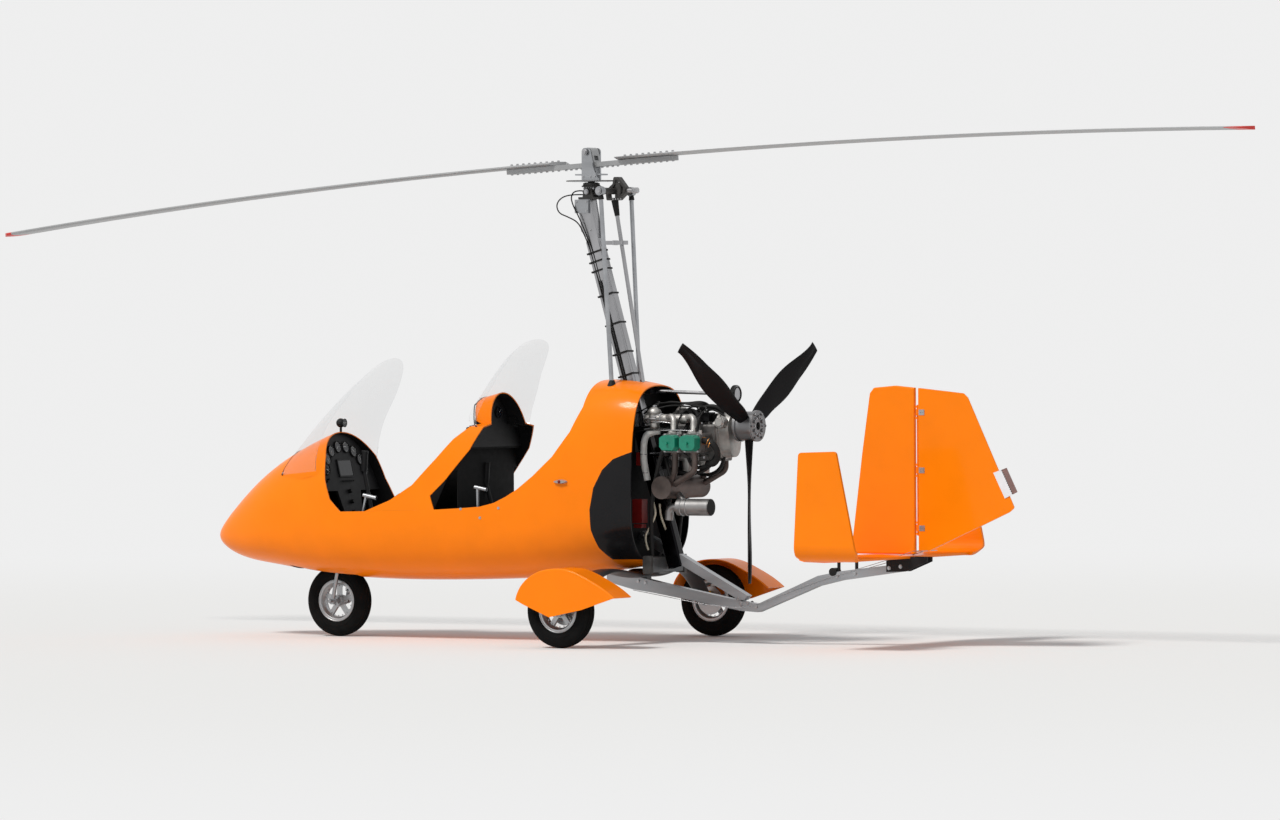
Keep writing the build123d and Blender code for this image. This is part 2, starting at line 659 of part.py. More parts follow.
hub_bar.label = "hub_bar"
export_step(hub_bar, "parts/hub_bar.step")

blade_mid = -UNDERSLING + BAR_H / 2 + GAP + BLADE_T / 2
with BuildPart() as blade_body:
    root_plane = Plane(origin=(0, 0, blade_mid), x_dir=(0, 1, 0), z_dir=(1, 0, PRECONE))
    with BuildSketch(root_plane):
        with BuildLine():
            crest = 0.1 * CHORD
            tail = (NOSE_SHARE - 1) * CHORD
            EllipticalCenterArc((crest, 0), NOSE_SHARE * CHORD - crest, BLADE_T / 2, -90, arc_size=180)
            for half in (-BLADE_T / 2, BLADE_T / 2):
                ThreePointArc((crest, half), ((crest + tail) / 2, 0.7 * half), (tail, 0.1 * half))
            Line((tail, BLADE_T / 20), (tail, -BLADE_T / 20))
        make_face()
    blade_axis = Axis((PRECONE * BLADE_CURVE_R, 0, blade_mid - BLADE_CURVE_R), (0, 1, 0))
    revolve(axis=blade_axis, revolution_arc=degrees((ROTOR_R + 20) / BLADE_CURVE_R))
    lead, trail = NOSE_SHARE * CHORD + 1, (NOSE_SHARE - 1) * CHORD - 1
    with BuildSketch(Plane.XY.offset(-WIDE)) as plan_form:
        with BuildLine():
            Polyline(
                (BLADE_ROOT, -20), (BLADE_ROOT + 60, lead), (ROTOR_R - 45, lead), (ROTOR_R, 20),
                (ROTOR_R, trail + 40), (ROTOR_R - 30, trail), (BLADE_ROOT + 60, trail), close=True,
            )
        make_face()
    extrude(plan_form.sketch, amount=2 * WIDE, mode=Mode.INTERSECT)
with BuildPart() as blade_pair:
    add(blade_body.part)
    add(blade_body.part.rotate(Axis.Z, 180))
rotor_blades = rotor_flat.location * blade_pair.part
rotor_blades.label = "rotor_blades"
export_step(rotor_blades, "parts/rotor_blades.step")

# Engine: flat four, its reduction gearbox aft
SHAFT_Z = 1184
CRANK_Z = 1094
CASE_X0, CASE_X1 = 555, 825
CASE_HALF = 95
HUB_X0, HUB_X1 = 925, 1042
HUB_R = 85
FLANGE_R = 30
with BuildPart() as crankcase:
    block(CASE_X0, CASE_X1, CASE_HALF, CRANK_Z - 100, CRANK_Z + 100)
    fillet(crankcase.edges().filter_by(Axis.X), 14)
    with BuildSketch(Plane.YZ.offset(CASE_X0)) as magneto:
        with Locations((0, CRANK_Z)):
            Circle(92)
    extrude(magneto.sketch, amount=-42, taper=14)
    for x in (600, 660, 720, 780):
        block(x - 4, x + 4, CASE_HALF - 15, CRANK_Z + 98, CRANK_Z + 112)
    with Locations((690, 0, CRANK_Z - 108)):
        Cylinder(48, 30)
crankcase.part.label = "crankcase"
export_step(crankcase.part, "parts/crankcase.step")

CYLINDERS = (
    # side, centre x
    (-1, 630),
    (-1, 754),
    (1, 606),
    (1, 730),
)
BARREL_R = 44
COOL_FIN = 108
COOL_FIN_T = 4
COOL_PITCH = 9
HEAD_Y0, HEAD_Y1 = 175, 225
with BuildPart() as cylinders:
    for side, x in CYLINDERS:
        for k in range(8):
            with BuildSketch(Plane.XZ.offset(-side * (CASE_HALF + 4 + COOL_PITCH * k))) as fin:
                with Locations((x, CRANK_Z)):
                    RectangleRounded(COOL_FIN, COOL_FIN, 16)
            extrude(fin.sketch, amount=-side * COOL_FIN_T)
        bar((x, side * CASE_HALF, CRANK_Z), (x, side * HEAD_Y0, CRANK_Z), BARREL_R)
        for dx in (-24, 24):
            bar((x + dx, side * CASE_HALF, CRANK_Z - 74), (x + dx, side * (HEAD_Y0 + 10), CRANK_Z - 46), 7)
        with BuildSketch(Plane.XZ.offset(-side * HEAD_Y0)) as head:
            with Locations((x, CRANK_Z)):
                RectangleRounded(112, 104, 14)
        extrude(head.sketch, amount=-side * (HEAD_Y1 - HEAD_Y0))
    add(crankcase.part, mode=Mode.SUBTRACT)
cylinders.part.label = "cylinders"
export_step(cylinders.part, "parts/cylinders.step")

with BuildSketch() as cover_outline:
    with BuildLine():
        FilletPolyline(
            (-54, -30), (-36, -44), (36, -44), (54, -30), (54, 22), (34, 44), (-34, 44), (-54, 22),
            close=True, radius=7,
        )
    make_face()
with BuildPart() as valve_covers:
    for side, x in CYLINDERS:
        face_plane = Plane(origin=(x, side * HEAD_Y1, CRANK_Z), x_dir=(side, 0, 0), z_dir=(0, side, 0))
        with BuildSketch(face_plane):
            add(cover_outline.sketch)
        extrude(amount=14)
        with BuildSketch(face_plane.offset(14)):
            add(cover_outline.sketch)
        extrude(amount=38, taper=9)
        with BuildSketch(face_plane.offset(52)) as bolt:
            Circle(7)
        extrude(bolt.sketch, amount=5)
valve_covers.part.label = "valve_covers"
export_step(valve_covers.part, "parts/valve_covers.step")

GEAR_X1 = 900
with BuildPart() as gearbox:
    with BuildSketch(Plane.YZ.offset(CASE_X1)) as case_outline:
        with Locations((0, SHAFT_Z - 10)):
            Circle(92)
        with Locations((0, CRANK_Z - 20)):
            Circle(70)
        make_hull()
    extrude(case_outline.sketch, amount=14)
    with BuildSketch(Plane.YZ.offset(CASE_X1 + 14)) as body_outline:
        add(case_outline.sketch_local)
        offset(amount=-6)
    extrude(body_outline.sketch, amount=GEAR_X1 - CASE_X1 - 14, taper=5)
    with BuildSketch(Plane.YZ.offset(CASE_X1)) as side_boss:
        with Locations((-92, SHAFT_Z + 8), (92, SHAFT_Z - 60)):
            Circle(20)
    extrude(side_boss.sketch, amount=60)
    with BuildSketch(Plane.YZ.offset(GEAR_X1)) as nose:
        with Locations((0, SHAFT_Z)):
            Circle(44)
    extrude(nose.sketch, amount=HUB_X0 - 6 - GEAR_X1)
    with BuildSketch(Plane.YZ.offset(HUB_X0 - 62)) as shaft_bore:
        with Locations((0, SHAFT_Z)):
            Circle(FLANGE_R + RUNNING)
    extrude(shaft_bore.sketch, amount=62, mode=Mode.SUBTRACT)
gearbox.part.label = "gearbox"
export_step(gearbox.part, "parts/gearbox.step")

CARB_X = 480
CARB_Y = 150
CARB_END = CARB_X + 40
MANIFOLD_Z = 1225
with BuildPart() as carburettors:
    for side in (-1, 1):
        with BuildSketch(Plane((CARB_X, side * CARB_Y, 0), x_dir=(1, 0, 0), z_dir=(0, -1, 0))) as half_body:
            with BuildLine():
                Polyline(
                    (0, 1172), (22, 1172), (27, 1180), (27, 1212), (33, 1218), (33, 1248), (38, 1254),
                    (38, 1264), (28, 1278), (14, 1287), (0, 1289), close=True,
                )
            make_face()
        revolve(half_body.sketch, axis=Axis((CARB_X, side * CARB_Y, 0), (0, 0, 1)))
        bar((CARB_X - 45, side * CARB_Y, MANIFOLD_Z), (CARB_END, side * CARB_Y, MANIFOLD_Z), 24)
        bar((CARB_X - 50, side * CARB_Y, MANIFOLD_Z), (CARB_X - 42, side * CARB_Y, MANIFOLD_Z), 31)
carburettors.part.label = "carburettors"
export_step(carburettors.part, "parts/carburettors.step")

# Cast manifolds: a pipe on each side with a bent elbow down to each head
ELBOW_R = 18
ELBOW_BEND = 34
with BuildPart() as intake_pipes:
    for side in (-1, 1):
        last = max(x for s, x in CYLINDERS if s == side)
        bar((CARB_END, side * CARB_Y, MANIFOLD_Z), (last - 60, side * CARB_Y, MANIFOLD_Z), 24)
    for side, x in CYLINDERS:
        bent_bar(
            ((x - 80, side * CARB_Y, MANIFOLD_Z), (x - 14, side * (CARB_Y + 24), MANIFOLD_Z + 16),
             (x, side * (HEAD_Y0 + 25), CRANK_Z + 52)), ELBOW_R, ELBOW_BEND,
        )
        bar((x, side * (HEAD_Y0 + 25), CRANK_Z + 52), (x, side * (HEAD_Y0 + 25), CRANK_Z + 60), ELBOW_R + 9)
    add(cylinders.part, mode=Mode.SUBTRACT)
    add(carburettors.part, mode=Mode.SUBTRACT)
intake_pipes.part.label = "intake_pipes"
export_step(intake_pipes.part, "parts/intake_pipes.step")

# Exhaust: hollow can across the engine, headers, and the silencer below it
MUFFLER_X, MUFFLER_Z = 558, 851
MUFFLER_R = 62
MUFFLER_HALF = 215
SILENCER_Y, SILENCER_Z = -150, 745
SILENCER_X0, SILENCER_X1 = 630, 831
SILENCER_R = 46
LINK = ((588, -100, 826), (676, -140, 752))
LINK_R = 20
PIPE_T = 2
with BuildPart() as muffler:
    bar((MUFFLER_X, -MUFFLER_HALF, MUFFLER_Z), (MUFFLER_X, MUFFLER_HALF, MUFFLER_Z), MUFFLER_R)
    for side, x in CYLINDERS:
        bent_bar(
            ((x, side * 190, CRANK_Z - 52), (x, side * 190, 940), (MUFFLER_X + 20, side * 160, MUFFLER_Z)), 17, 44,
        )
        bar((x, side * 190, CRANK_Z - 60), (x, side * 190, CRANK_Z - 52), 26)
    bar(
        (MUFFLER_X, PIPE_T - MUFFLER_HALF, MUFFLER_Z), (MUFFLER_X, MUFFLER_HALF - PIPE_T, MUFFLER_Z),
        MUFFLER_R - PIPE_T, Mode.SUBTRACT,
    )
    bar(*LINK, LINK_R - PIPE_T, Mode.SUBTRACT)
    add(cylinders.part, mode=Mode.SUBTRACT)
muffler.part.label = "muffler"
export_step(muffler.part, "parts/muffler.step")

with BuildPart() as muffler_can:
    bar((MUFFLER_X, -MUFFLER_HALF, MUFFLER_Z), (MUFFLER_X, MUFFLER_HALF, MUFFLER_Z), MUFFLER_R)
TAIL_PIPE = ((SILENCER_X0 + 10, SILENCER_Y, SILENCER_Z), (575, SILENCER_Y, SILENCER_Z), (568, SILENCER_Y, 674))
with BuildPart() as silencer:
    bar((SILENCER_X0, SILENCER_Y, SILENCER_Z), (SILENCER_X1, SILENCER_Y, SILENCER_Z), SILENCER_R)
    bent_bar(TAIL_PIPE, 22, 35)
    bar(*LINK, LINK_R)
    bar(
        (SILENCER_X0 + PIPE_T, SILENCER_Y, SILENCER_Z), (SILENCER_X1 - PIPE_T, SILENCER_Y, SILENCER_Z),
        SILENCER_R - PIPE_T, Mode.SUBTRACT,
    )
    bent_bar(TAIL_PIPE, 22 - PIPE_T, 35, Mode.SUBTRACT)
    bar(*LINK, LINK_R - PIPE_T, Mode.SUBTRACT)
    add(muffler_can.part, mode=Mode.SUBTRACT)
silencer.part.label = "silencer"
export_step(silencer.part, "parts/silencer.step")

RADIATOR_X0, RADIATOR_X1 = 432, 474
RADIATOR_HALF = 168
RADIATOR_Z0, RADIATOR_Z1 = 385, 474
with BuildPart() as radiator:
    block(RADIATOR_X0, RADIATOR_X1, RADIATOR_HALF, RADIATOR_Z0, RADIATOR_Z1)
    for y in (-RADIATOR_HALF - 13, RADIATOR_HALF + 13):
        with Locations(((RADIATOR_X0 + RADIATOR_X1) / 2, y, (RADIATOR_Z0 + RADIATOR_Z1) / 2)):
            Box(52, 26, 100)
    fillet(radiator.edges().filter_by(Axis.Y).group_by(Axis.Y)[0], 10)
    for y in (-60, 60):
        bar((453, y, RADIATOR_Z1 - 2), (453, y * 0.4, 500), 6)
    add(brace_body.part, mode=Mode.SUBTRACT)
    add(mast_body.part, mode=Mode.SUBTRACT)
radiator.part.label = "radiator"
export_step(radiator.part, "parts/radiator.step")

# Engine bearers from the mast to the crankcase
with BuildPart() as engine_mount:
    for side in (-1, 1):
        for z in (CRANK_Z - 66, CRANK_Z + 66):
            bar((mast_x(z) + 20, side * 18, z), (CASE_X0 + 10, side * 76, z), 12)
    add(crankcase.part, mode=Mode.SUBTRACT)
    add(mast_body.part, mode=Mode.SUBTRACT)
engine_mount.part.label = "engine_mount"
export_step(engine_mount.part, "parts/engine_mount.step")

# Spin-up drive of the rotor: pulley, cross shaft, bevel box and long shaft
PULLEY_X, PULLEY_Z = 902, 1357
BEVEL_Z = 1374
with BuildPart() as prerotator_shaft:
    bar((SHAFT_KNEE[0] + 18, 0, BEVEL_Z), (PULLEY_X, 0, PULLEY_Z), 10)
    with BuildSketch(Plane.YZ.offset(PULLEY_X - 12)) as pulley:
        with Locations((0, PULLEY_Z)):
            Circle(46)
    extrude(pulley.sketch, amount=24)
    bar((PULLEY_X - 8, 0, PULLEY_Z - 17), (862, 0, 1250), 12)
    add(gearbox.part, mode=Mode.SUBTRACT)
    bar((SHAFT_HEAD[0], 0, SHAFT_HEAD[1]), (SHAFT_KNEE[0], 0, SHAFT_KNEE[1]), SPIN_R)
    bar((SHAFT_KNEE[0], 0, SHAFT_KNEE[1] + 3), (SHAFT_KNEE[0] + 2, 0, BEVEL_Z), SPIN_R)
    with Locations((SHAFT_KNEE[0] + 4.5, 0, BEVEL_Z)):
        Box(32, 34, 34)
    add(rotor_gimbal.part, mode=Mode.SUBTRACT)
prerotator_shaft.part.label = "prerotator_shaft"
export_step(prerotator_shaft.part, "parts/prerotator_shaft.step")

# Propeller: shaft, hub and three twisted blades
hub_plane = Plane(origin=(0, 0, SHAFT_Z), x_dir=(0, 0, 1), z_dir=(1, 0, 0))
with BuildPart() as propeller_hub:
    with BuildSketch(hub_plane.offset(HUB_X0 - 60)):
        Circle(FLANGE_R)
    extrude(amount=62)
    with BuildSketch(hub_plane.offset(HUB_X0)):
        Circle(HUB_R)
    extrude(amount=16)
    with BuildSketch(hub_plane.offset(HUB_X0 + 16)):
        Circle(HUB_R - 6)
    extrude(amount=HUB_X1 - HUB_X0 - 32)
    with BuildSketch(hub_plane.offset(HUB_X1 - 16)):
        Circle(HUB_R)
    extrude(amount=16)
    with BuildSketch(hub_plane.offset(HUB_X1)):
        with PolarLocations(48, 6):
            RegularPolygon(10, 6)
        with PolarLocations(72, 6, 30):
            RegularPolygon(7, 6)
    extrude(amount=8)
    with BuildSketch(hub_plane.offset(HUB_X1)):
        Circle(22)
    extrude(amount=-40, mode=Mode.SUBTRACT)
propeller_hub.part.label = "propeller_hub"
export_step(propeller_hub.part, "parts/propeller_hub.step")

PROP_X = 985
PROP_STATIONS = (
    # radius, chord, thickness, pitch
    (60, 60, 44, 60),
    (180, 92, 26, 44),
    (360, 118, 17, 28),
    (600, 104, 12, 20),
    (PROP_R, 60, 7, 15),
)
with BuildPart() as prop_blade:
    for r, chord, thick, pitch in PROP_STATIONS:
        a = radians(pitch)
        with BuildSketch(Plane(origin=(r, 0, 0), x_dir=(0, -cos(a), sin(a)), z_dir=(1, 0, 0))):
            Ellipse(chord / 2, thick / 2)
    loft()
with BuildPart() as propeller_blades:
    with Locations(hub_plane.offset(PROP_X)):
        with PolarLocations(0, 3, 60):
            add(prop_blade.part)
    add(propeller_hub.part, mode=Mode.SUBTRACT)
propeller_blades.part.label = "propeller_blades"
export_step(propeller_blades.part, "parts/propeller_blades.step")

# Tailplane, its end fins turned up at each tip, and the centre fin
HINGE_X = 2020
TAIL_Z = 485
FIN_T = 18
FIN_BEND = 80
FIN_OUTLINE = ((1700, 1055), (1925, 1062), (2040, 520), (1990, 464), (1720, 466), (1668, 500))
with BuildPart() as tailplane:
    rounded_prism(
        ((1640, TAIL_Z), (1680, 496), (1800, 499), (1990, 492), (1990, 478), (1800, 471), (1680, 474)),
        FIN_BEND - TAIL_HALF, TAIL_HALF - FIN_BEND, 3,
    )
tailplane.part.label = "tailplane"
export_step(tailplane.part, "parts/tailplane.step")

with BuildPart() as end_fins:
    for side in (-1, 1):
        outer = side * (TAIL_HALF + FIN_T / 2)
        with BuildSketch(Plane.YZ.offset(1640)) as strip:
            with BuildLine() as strip_line:
                FilletPolyline(
                    (side * (TAIL_HALF - FIN_BEND + GAP), TAIL_Z), (outer, TAIL_Z), (outer, 1080), radius=FIN_BEND,
                )
            trace(strip_line.line, line_width=FIN_T)
        extrude(strip.sketch, amount=420)
    rounded_prism(FIN_OUTLINE, -WIDE - TAIL_HALF, WIDE + TAIL_HALF, 20, Mode.INTERSECT)
end_fins.part.label = "end_fins"
export_step(end_fins.part, "parts/end_fins.step")

HINGE_Z = (640, 950, 1260)
PIN_R = 4
CENTRE_T = 28
RUDDER_X = HINGE_X + 12
with BuildPart() as centre_fin:
    rounded_prism(
        ((1735, 1362), (1760, 1392), (1891, 1403), (HINGE_X - 12, 1392), (HINGE_X - 12, 500), (1640, 500),
         (1624, 560), (1687, 1041)), -CENTRE_T / 2, CENTRE_T / 2, [14, 14, 60, 3, 10, 10, 14, 60],
    )
    side_edges = centre_fin.edges().filter_by(lambda e: e.bounding_box().max.X < HINGE_X - 14)
    rim_edges = side_edges.filter_by(lambda e: e.bounding_box().size.Y < 1)
    fillet(rim_edges.filter_by(lambda e: e.bounding_box().max.Z > 520), 9)
    add(tailplane.part, mode=Mode.SUBTRACT)
    bar((HINGE_X, 0, HINGE_Z[0] - 40), (HINGE_X, 0, HINGE_Z[-1] + 40), PIN_R)
    for z in HINGE_Z:
        for end in (-30, 30):
            with Locations((HINGE_X - 6, 0, z + end)):
                Box(12, 8, 12)
centre_fin.part.label = "centre_fin"
export_step(centre_fin.part, "parts/centre_fin.step")

with BuildPart() as rudder:
    sections = []
    for z, tail_x in ((500, 2723), (1400, 2297)):
        with BuildSketch(Plane.XY.offset(z)) as section:
            with BuildLine():
                Polyline((RUDDER_X, -14), (RUDDER_X, 14), (tail_x, 3), (tail_x, -3), close=True)
            make_face()
        sections.append(section.sketch)
    loft(sections, ruled=True)
    rounded_prism(
        ((RUDDER_X, 1390), (2300, 1362), (2336, 1330), (2606, 756), (2574, 730), (2085, 516), (RUDDER_X, 516)),
        -20, 20, [3, 24, 30, 20, 30, 20, 3], Mode.INTERSECT,
    )
    for z in HINGE_Z:
        with Locations((HINGE_X, 0, z)):
            Cylinder(9, 36)
        with Locations((HINGE_X + 8, 0, z)):
            Box(16, 12, 36)
    bar((HINGE_X, 0, 0), (HINGE_X, 0, 1500), PIN_R + RUNNING, Mode.SUBTRACT)
rudder.part.label = "rudder"
export_step(rudder.part, "parts/rudder.step")

with BuildPart() as trim_tab:
    side_prism(((2479, 939), (2559, 966), (2623, 838), (2548, 803)), -7.5, -4.5)
    add(rudder.part, mode=Mode.SUBTRACT)
trim_tab.part.label = "trim_tab"
export_step(trim_tab.part, "parts/trim_tab.step")

with BuildPart() as tail_bracket:
    for y in (-BEAM_W / 2 - 6, BEAM_W / 2):
        side_prism(((1843, 404), (1960, 408), (2092, 462), (2092, 487), (1843, 487)), y, y + 6)
    for x in (1537, 1646):
        with Locations((x, 0, 440)):
            Cylinder(9, 80)
    add(tailplane.part, mode=Mode.SUBTRACT)
    add(centre_fin.part, mode=Mode.SUBTRACT)
    side_prism(BOOM_OUTLINE, -BEAM_W / 2, BEAM_W / 2, Mode.SUBTRACT)
tail_bracket.part.label = "tail_bracket"
export_step(tail_bracket.part, "parts/tail_bracket.step")

# Main gear: one sprung bow, thin at the middle and bent down to each axle
LEG_ROWS = (
    # y, x, z, chord, thickness
    (0, 310, 391, 170, 28),
    (260, 308, 391, 158, 28),
    (500, 300, 378, 128, 30),
    (620, 292, 310, 108, 38),
    (745, MAIN_X, 197, 92, 42),
)
LEG_END = LEG_ROWS[-1][0]
AXLE_R = 10
NOSE_AXLE_R = 9
with BuildPart() as gear_legs:
    for y, x, z, chord, thick in LEG_ROWS:
        with BuildSketch(Plane.XZ.offset(-y)):
            with Locations((x, z)):
                Ellipse(chord / 2, thick / 2)
    loft()
    mirror(about=Plane.XZ)
    block(266, 354, BEAM_W / 2, 340, 385)
    add(hull_outer.part, mode=Mode.SUBTRACT)
    side_prism(KEEL_OUTLINE, -BEAM_W / 2, BEAM_W / 2, Mode.SUBTRACT)
gear_legs.part.label = "gear_legs"
export_step(gear_legs.part, "parts/gear_legs.step")

GUARD_Y0, GUARD_Y1, GUARD_T = 752, 936, 6
with BuildPart() as stub_axles:
    for side in (-1, 1):
        bar((MAIN_X, side * LEG_END, WHEEL_R), (MAIN_X, side * (GUARD_Y1 - GUARD_T), WHEEL_R), AXLE_R)
    add(gear_legs.part, mode=Mode.SUBTRACT)
stub_axles.part.label = "stub_axles"
export_step(stub_axles.part, "parts/stub_axles.step")

# Mudguards: crown from front to rear in side view, and the point of the outboard skirt
GUARD_CROWN = ((62, 262), (118, 360), (202, 412), (295, 431), (401, 424), (513, 380), (612, 328), (682, 278))
GUARD_SKIRT = ((474, 211), (274, 170), (110, 238))
GUARD_EDGE = 9
crown_mid = (GUARD_CROWN[0][0] + GUARD_CROWN[-1][0]) / 2
crown_half = (GUARD_CROWN[-1][0] - GUARD_CROWN[0][0]) / 2
inner_crown = [
    (crown_mid + (x - crown_mid) * (1 - GUARD_T / crown_half), z - GUARD_T) for x, z in GUARD_CROWN
]
with BuildPart() as guard_cavity:
    with BuildSketch(Plane.XZ.offset(GUARD_Y1 - GUARD_T)):
        with BuildLine():
            Spline(*inner_crown)
            Polyline(inner_crown[-1], (inner_crown[-1][0], 0), (inner_crown[0][0], 0), inner_crown[0])
        make_face()
    extrude(amount=GUARD_Y0 - GUARD_Y1 - 20)
with BuildPart() as mudguards:
    with BuildSketch(Plane.XZ.offset(GUARD_Y1)):
        with BuildLine():
            Spline(*GUARD_CROWN)
            Polyline(GUARD_CROWN[-1], *GUARD_SKIRT, GUARD_CROWN[0])
        make_face()
    extrude(amount=GUARD_Y0 - GUARD_Y1)
    fillet(mudguards.edges().group_by(Axis.Y)[0].sort_by(Axis.Z)[-1], GUARD_EDGE)
    add(guard_cavity.part, mode=Mode.SUBTRACT)
    mirror(about=Plane.XZ)
mudguards.part.label = "mudguards"
export_step(mudguards.part, "parts/mudguards.step")

# Wheels: label, centre, side of the brake disc, axle radius
WHEELS = (
    ("left_wheel", MAIN_X, -TRACK_HALF, 1, AXLE_R),
    ("right_wheel", MAIN_X, TRACK_HALF, -1, AXLE_R),
    ("nose_wheel", NOSE_X, 0, 0, NOSE_AXLE_R),
)
BEAD = 0.62 * TYRE_W / 2
LIP = 0.72 * TYRE_W / 2
LIP_RISE = 6
RIM_WALL = 10
SPOKES = 5
SPOKE_W = 26
SPOKE_T = 18
HUB_R = 30
BOSS_R = 34
DISC_R = 78
for label, x, y, disc_side, axle_r in WHEELS:
    with BuildPart() as rim:
        with BuildSketch(Plane.XY) as rim_section:
            with BuildLine():
                Polyline(
                    (RIM_R - RIM_WALL, -LIP), (RIM_R + LIP_RISE, -LIP), (RIM_R + LIP_RISE, -BEAD),
                    (RIM_R, -BEAD), (RIM_R, BEAD), (RIM_R + LIP_RISE, BEAD), (RIM_R + LIP_RISE, LIP),
                    (RIM_R - RIM_WALL, LIP), (RIM_R - RIM_WALL, BEAD - 6), (RIM_R - 22, 12),
                    (RIM_R - 22, -12), (RIM_R - RIM_WALL, 6 - BEAD), close=True,
                )
            make_face()
        revolve(rim_section.sketch, axis=Axis.Y)
        with BuildSketch(Plane.XZ.offset(-SPOKE_T / 2)) as spokes:
            Circle(BOSS_R + 2)
            with PolarLocations((RIM_R - 4) / 2, SPOKES, 90):
                Rectangle(RIM_R - 16, SPOKE_W)
        extrude(spokes.sketch, amount=SPOKE_T)
        bar((0, -LIP, 0), (0, LIP, 0), HUB_R)
        if disc_side:
            bar((0, 0, 0), (0, disc_side * (LIP + 6), 0), BOSS_R)
            bar((0, disc_side * (LIP + 1), 0), (0, disc_side * (LIP + 5), 0), DISC_R)
        bar((0, -TYRE_W, 0), (0, TYRE_W, 0), axle_r + RUNNING, Mode.SUBTRACT)
    with BuildPart() as tyre:
        with BuildSketch(Plane.XY) as tyre_section:
            with BuildLine():
                half = TYRE_W / 2
                Line((RIM_R, -BEAD), (RIM_R, BEAD))
                ThreePointArc((RIM_R, BEAD), ((RIM_R + WHEEL_R) / 2, half), (WHEEL_R - 18, 0.74 * half))
                ThreePointArc((WHEEL_R - 18, 0.74 * half), (WHEEL_R, 0), (WHEEL_R - 18, -0.74 * half))
                ThreePointArc((WHEEL_R - 18, -0.74 * half), ((RIM_R + WHEEL_R) / 2, -half), (RIM_R, -BEAD))
            make_face()
        revolve(tyre_section.sketch, axis=Axis.Y)
        add(rim.part, mode=Mode.SUBTRACT)
    for part_name, piece in ((f"{label}_rim", rim), (f"{label}_tyre", tyre)):
        placed = Pos(x, y, WHEEL_R) * piece.part
        placed.label = part_name
        export_step(placed, f"parts/{part_name}.step")

# Nose gear: fork with stepped axle ends, and the well that carries its stem
STEER_TOP = (-1604, 440)
STEM_R = 16
FORK_Y = 74
EYE_Y0, EYE_Y1 = 66, 86
TOW_PIN_END = 110
steer = atan2(STEER_TOP[0] - NOSE_X, STEER_TOP[1] - WHEEL_R)


def on_stem(along):
    """Point on the steering axis, by distance above the fork's crown."""
    return (STEER_TOP[0] + along * sin(steer), 0, STEER_TOP[1] + along * cos(steer))


with BuildPart() as nose_fork:
    for side in (-1, 1):
        bar((NOSE_X, side * FORK_Y, WHEEL_R), (STEER_TOP[0], side * FORK_Y, STEER_TOP[1]), 11)
        bar((NOSE_X, side * EYE_Y0, WHEEL_R), (NOSE_X, side * EYE_Y1, WHEEL_R), 20)
        bar((NOSE_X, side * (EYE_Y1 - 4), WHEEL_R), (NOSE_X, side * TOW_PIN_END, WHEEL_R), AXLE_R)
    bar((STEER_TOP[0], -80, STEER_TOP[1]), (STEER_TOP[0], 80, STEER_TOP[1]), 14)
    bar(on_stem(0), on_stem(120), STEM_R)
    bar((NOSE_X, -EYE_Y0 - 4, WHEEL_R), (NOSE_X, EYE_Y0 + 4, WHEEL_R), NOSE_AXLE_R)
nose_fork.part.label = "nose_fork"
export_step(nose_fork.part, "parts/nose_fork.step")

WELL_T = 4
with BuildPart() as nose_wheel_well:
    block(WELL_X0, WELL_X1, WELL_HALF, WELL_LOW, WELL_TOP)
    bar(on_stem(34), on_stem(124), STEM_R + 10)
    block(WELL_X0 + WELL_T, WELL_X1 - WELL_T, WELL_HALF - WELL_T, WELL_LOW - 10, WELL_TOP - WELL_T, Mode.SUBTRACT)
    bar(on_stem(0), on_stem(120), STEM_R + RUNNING, Mode.SUBTRACT)
    add(hull_outer.part, mode=Mode.INTERSECT)
nose_wheel_well.part.label = "nose_wheel_well"
export_step(nose_wheel_well.part, "parts/nose_wheel_well.step")

with BuildPart() as nav_light:
    with BuildSketch(Plane.XZ.offset(335)):
        with Locations((7, 883)):
            Ellipse(46, 16)
    extrude(amount=38, taper=12)
    add(hull_outer.part, mode=Mode.SUBTRACT)
nav_light.part.label = "nav_light"
export_step(nav_light.part, "parts/nav_light.step")
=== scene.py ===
import json
from math import atan2, cos, hypot, pi, radians, sin

import bmesh
import bpy
from mathutils import Matrix, Vector
from mathutils.bvhtree import BVHTree


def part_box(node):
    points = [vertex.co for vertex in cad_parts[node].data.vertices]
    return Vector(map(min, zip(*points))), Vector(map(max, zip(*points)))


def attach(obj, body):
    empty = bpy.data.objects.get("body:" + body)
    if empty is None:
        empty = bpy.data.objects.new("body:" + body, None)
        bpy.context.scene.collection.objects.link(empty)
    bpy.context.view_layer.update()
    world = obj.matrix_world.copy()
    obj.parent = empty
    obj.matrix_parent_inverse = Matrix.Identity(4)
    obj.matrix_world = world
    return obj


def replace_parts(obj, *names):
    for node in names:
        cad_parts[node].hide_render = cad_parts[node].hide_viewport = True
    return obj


# Finish of a two-seat open gyrocopter. Metres. X runs aft, Y to starboard, Z up.
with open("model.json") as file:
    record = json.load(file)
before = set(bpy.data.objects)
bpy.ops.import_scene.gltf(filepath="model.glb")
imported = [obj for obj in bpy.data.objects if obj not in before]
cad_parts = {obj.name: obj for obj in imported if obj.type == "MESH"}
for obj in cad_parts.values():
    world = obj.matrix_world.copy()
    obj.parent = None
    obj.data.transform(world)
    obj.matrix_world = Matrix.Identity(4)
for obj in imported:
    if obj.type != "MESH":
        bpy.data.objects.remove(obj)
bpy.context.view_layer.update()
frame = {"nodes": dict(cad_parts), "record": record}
AIRFRAME = "airframe"
SIDES = (-1, 1)

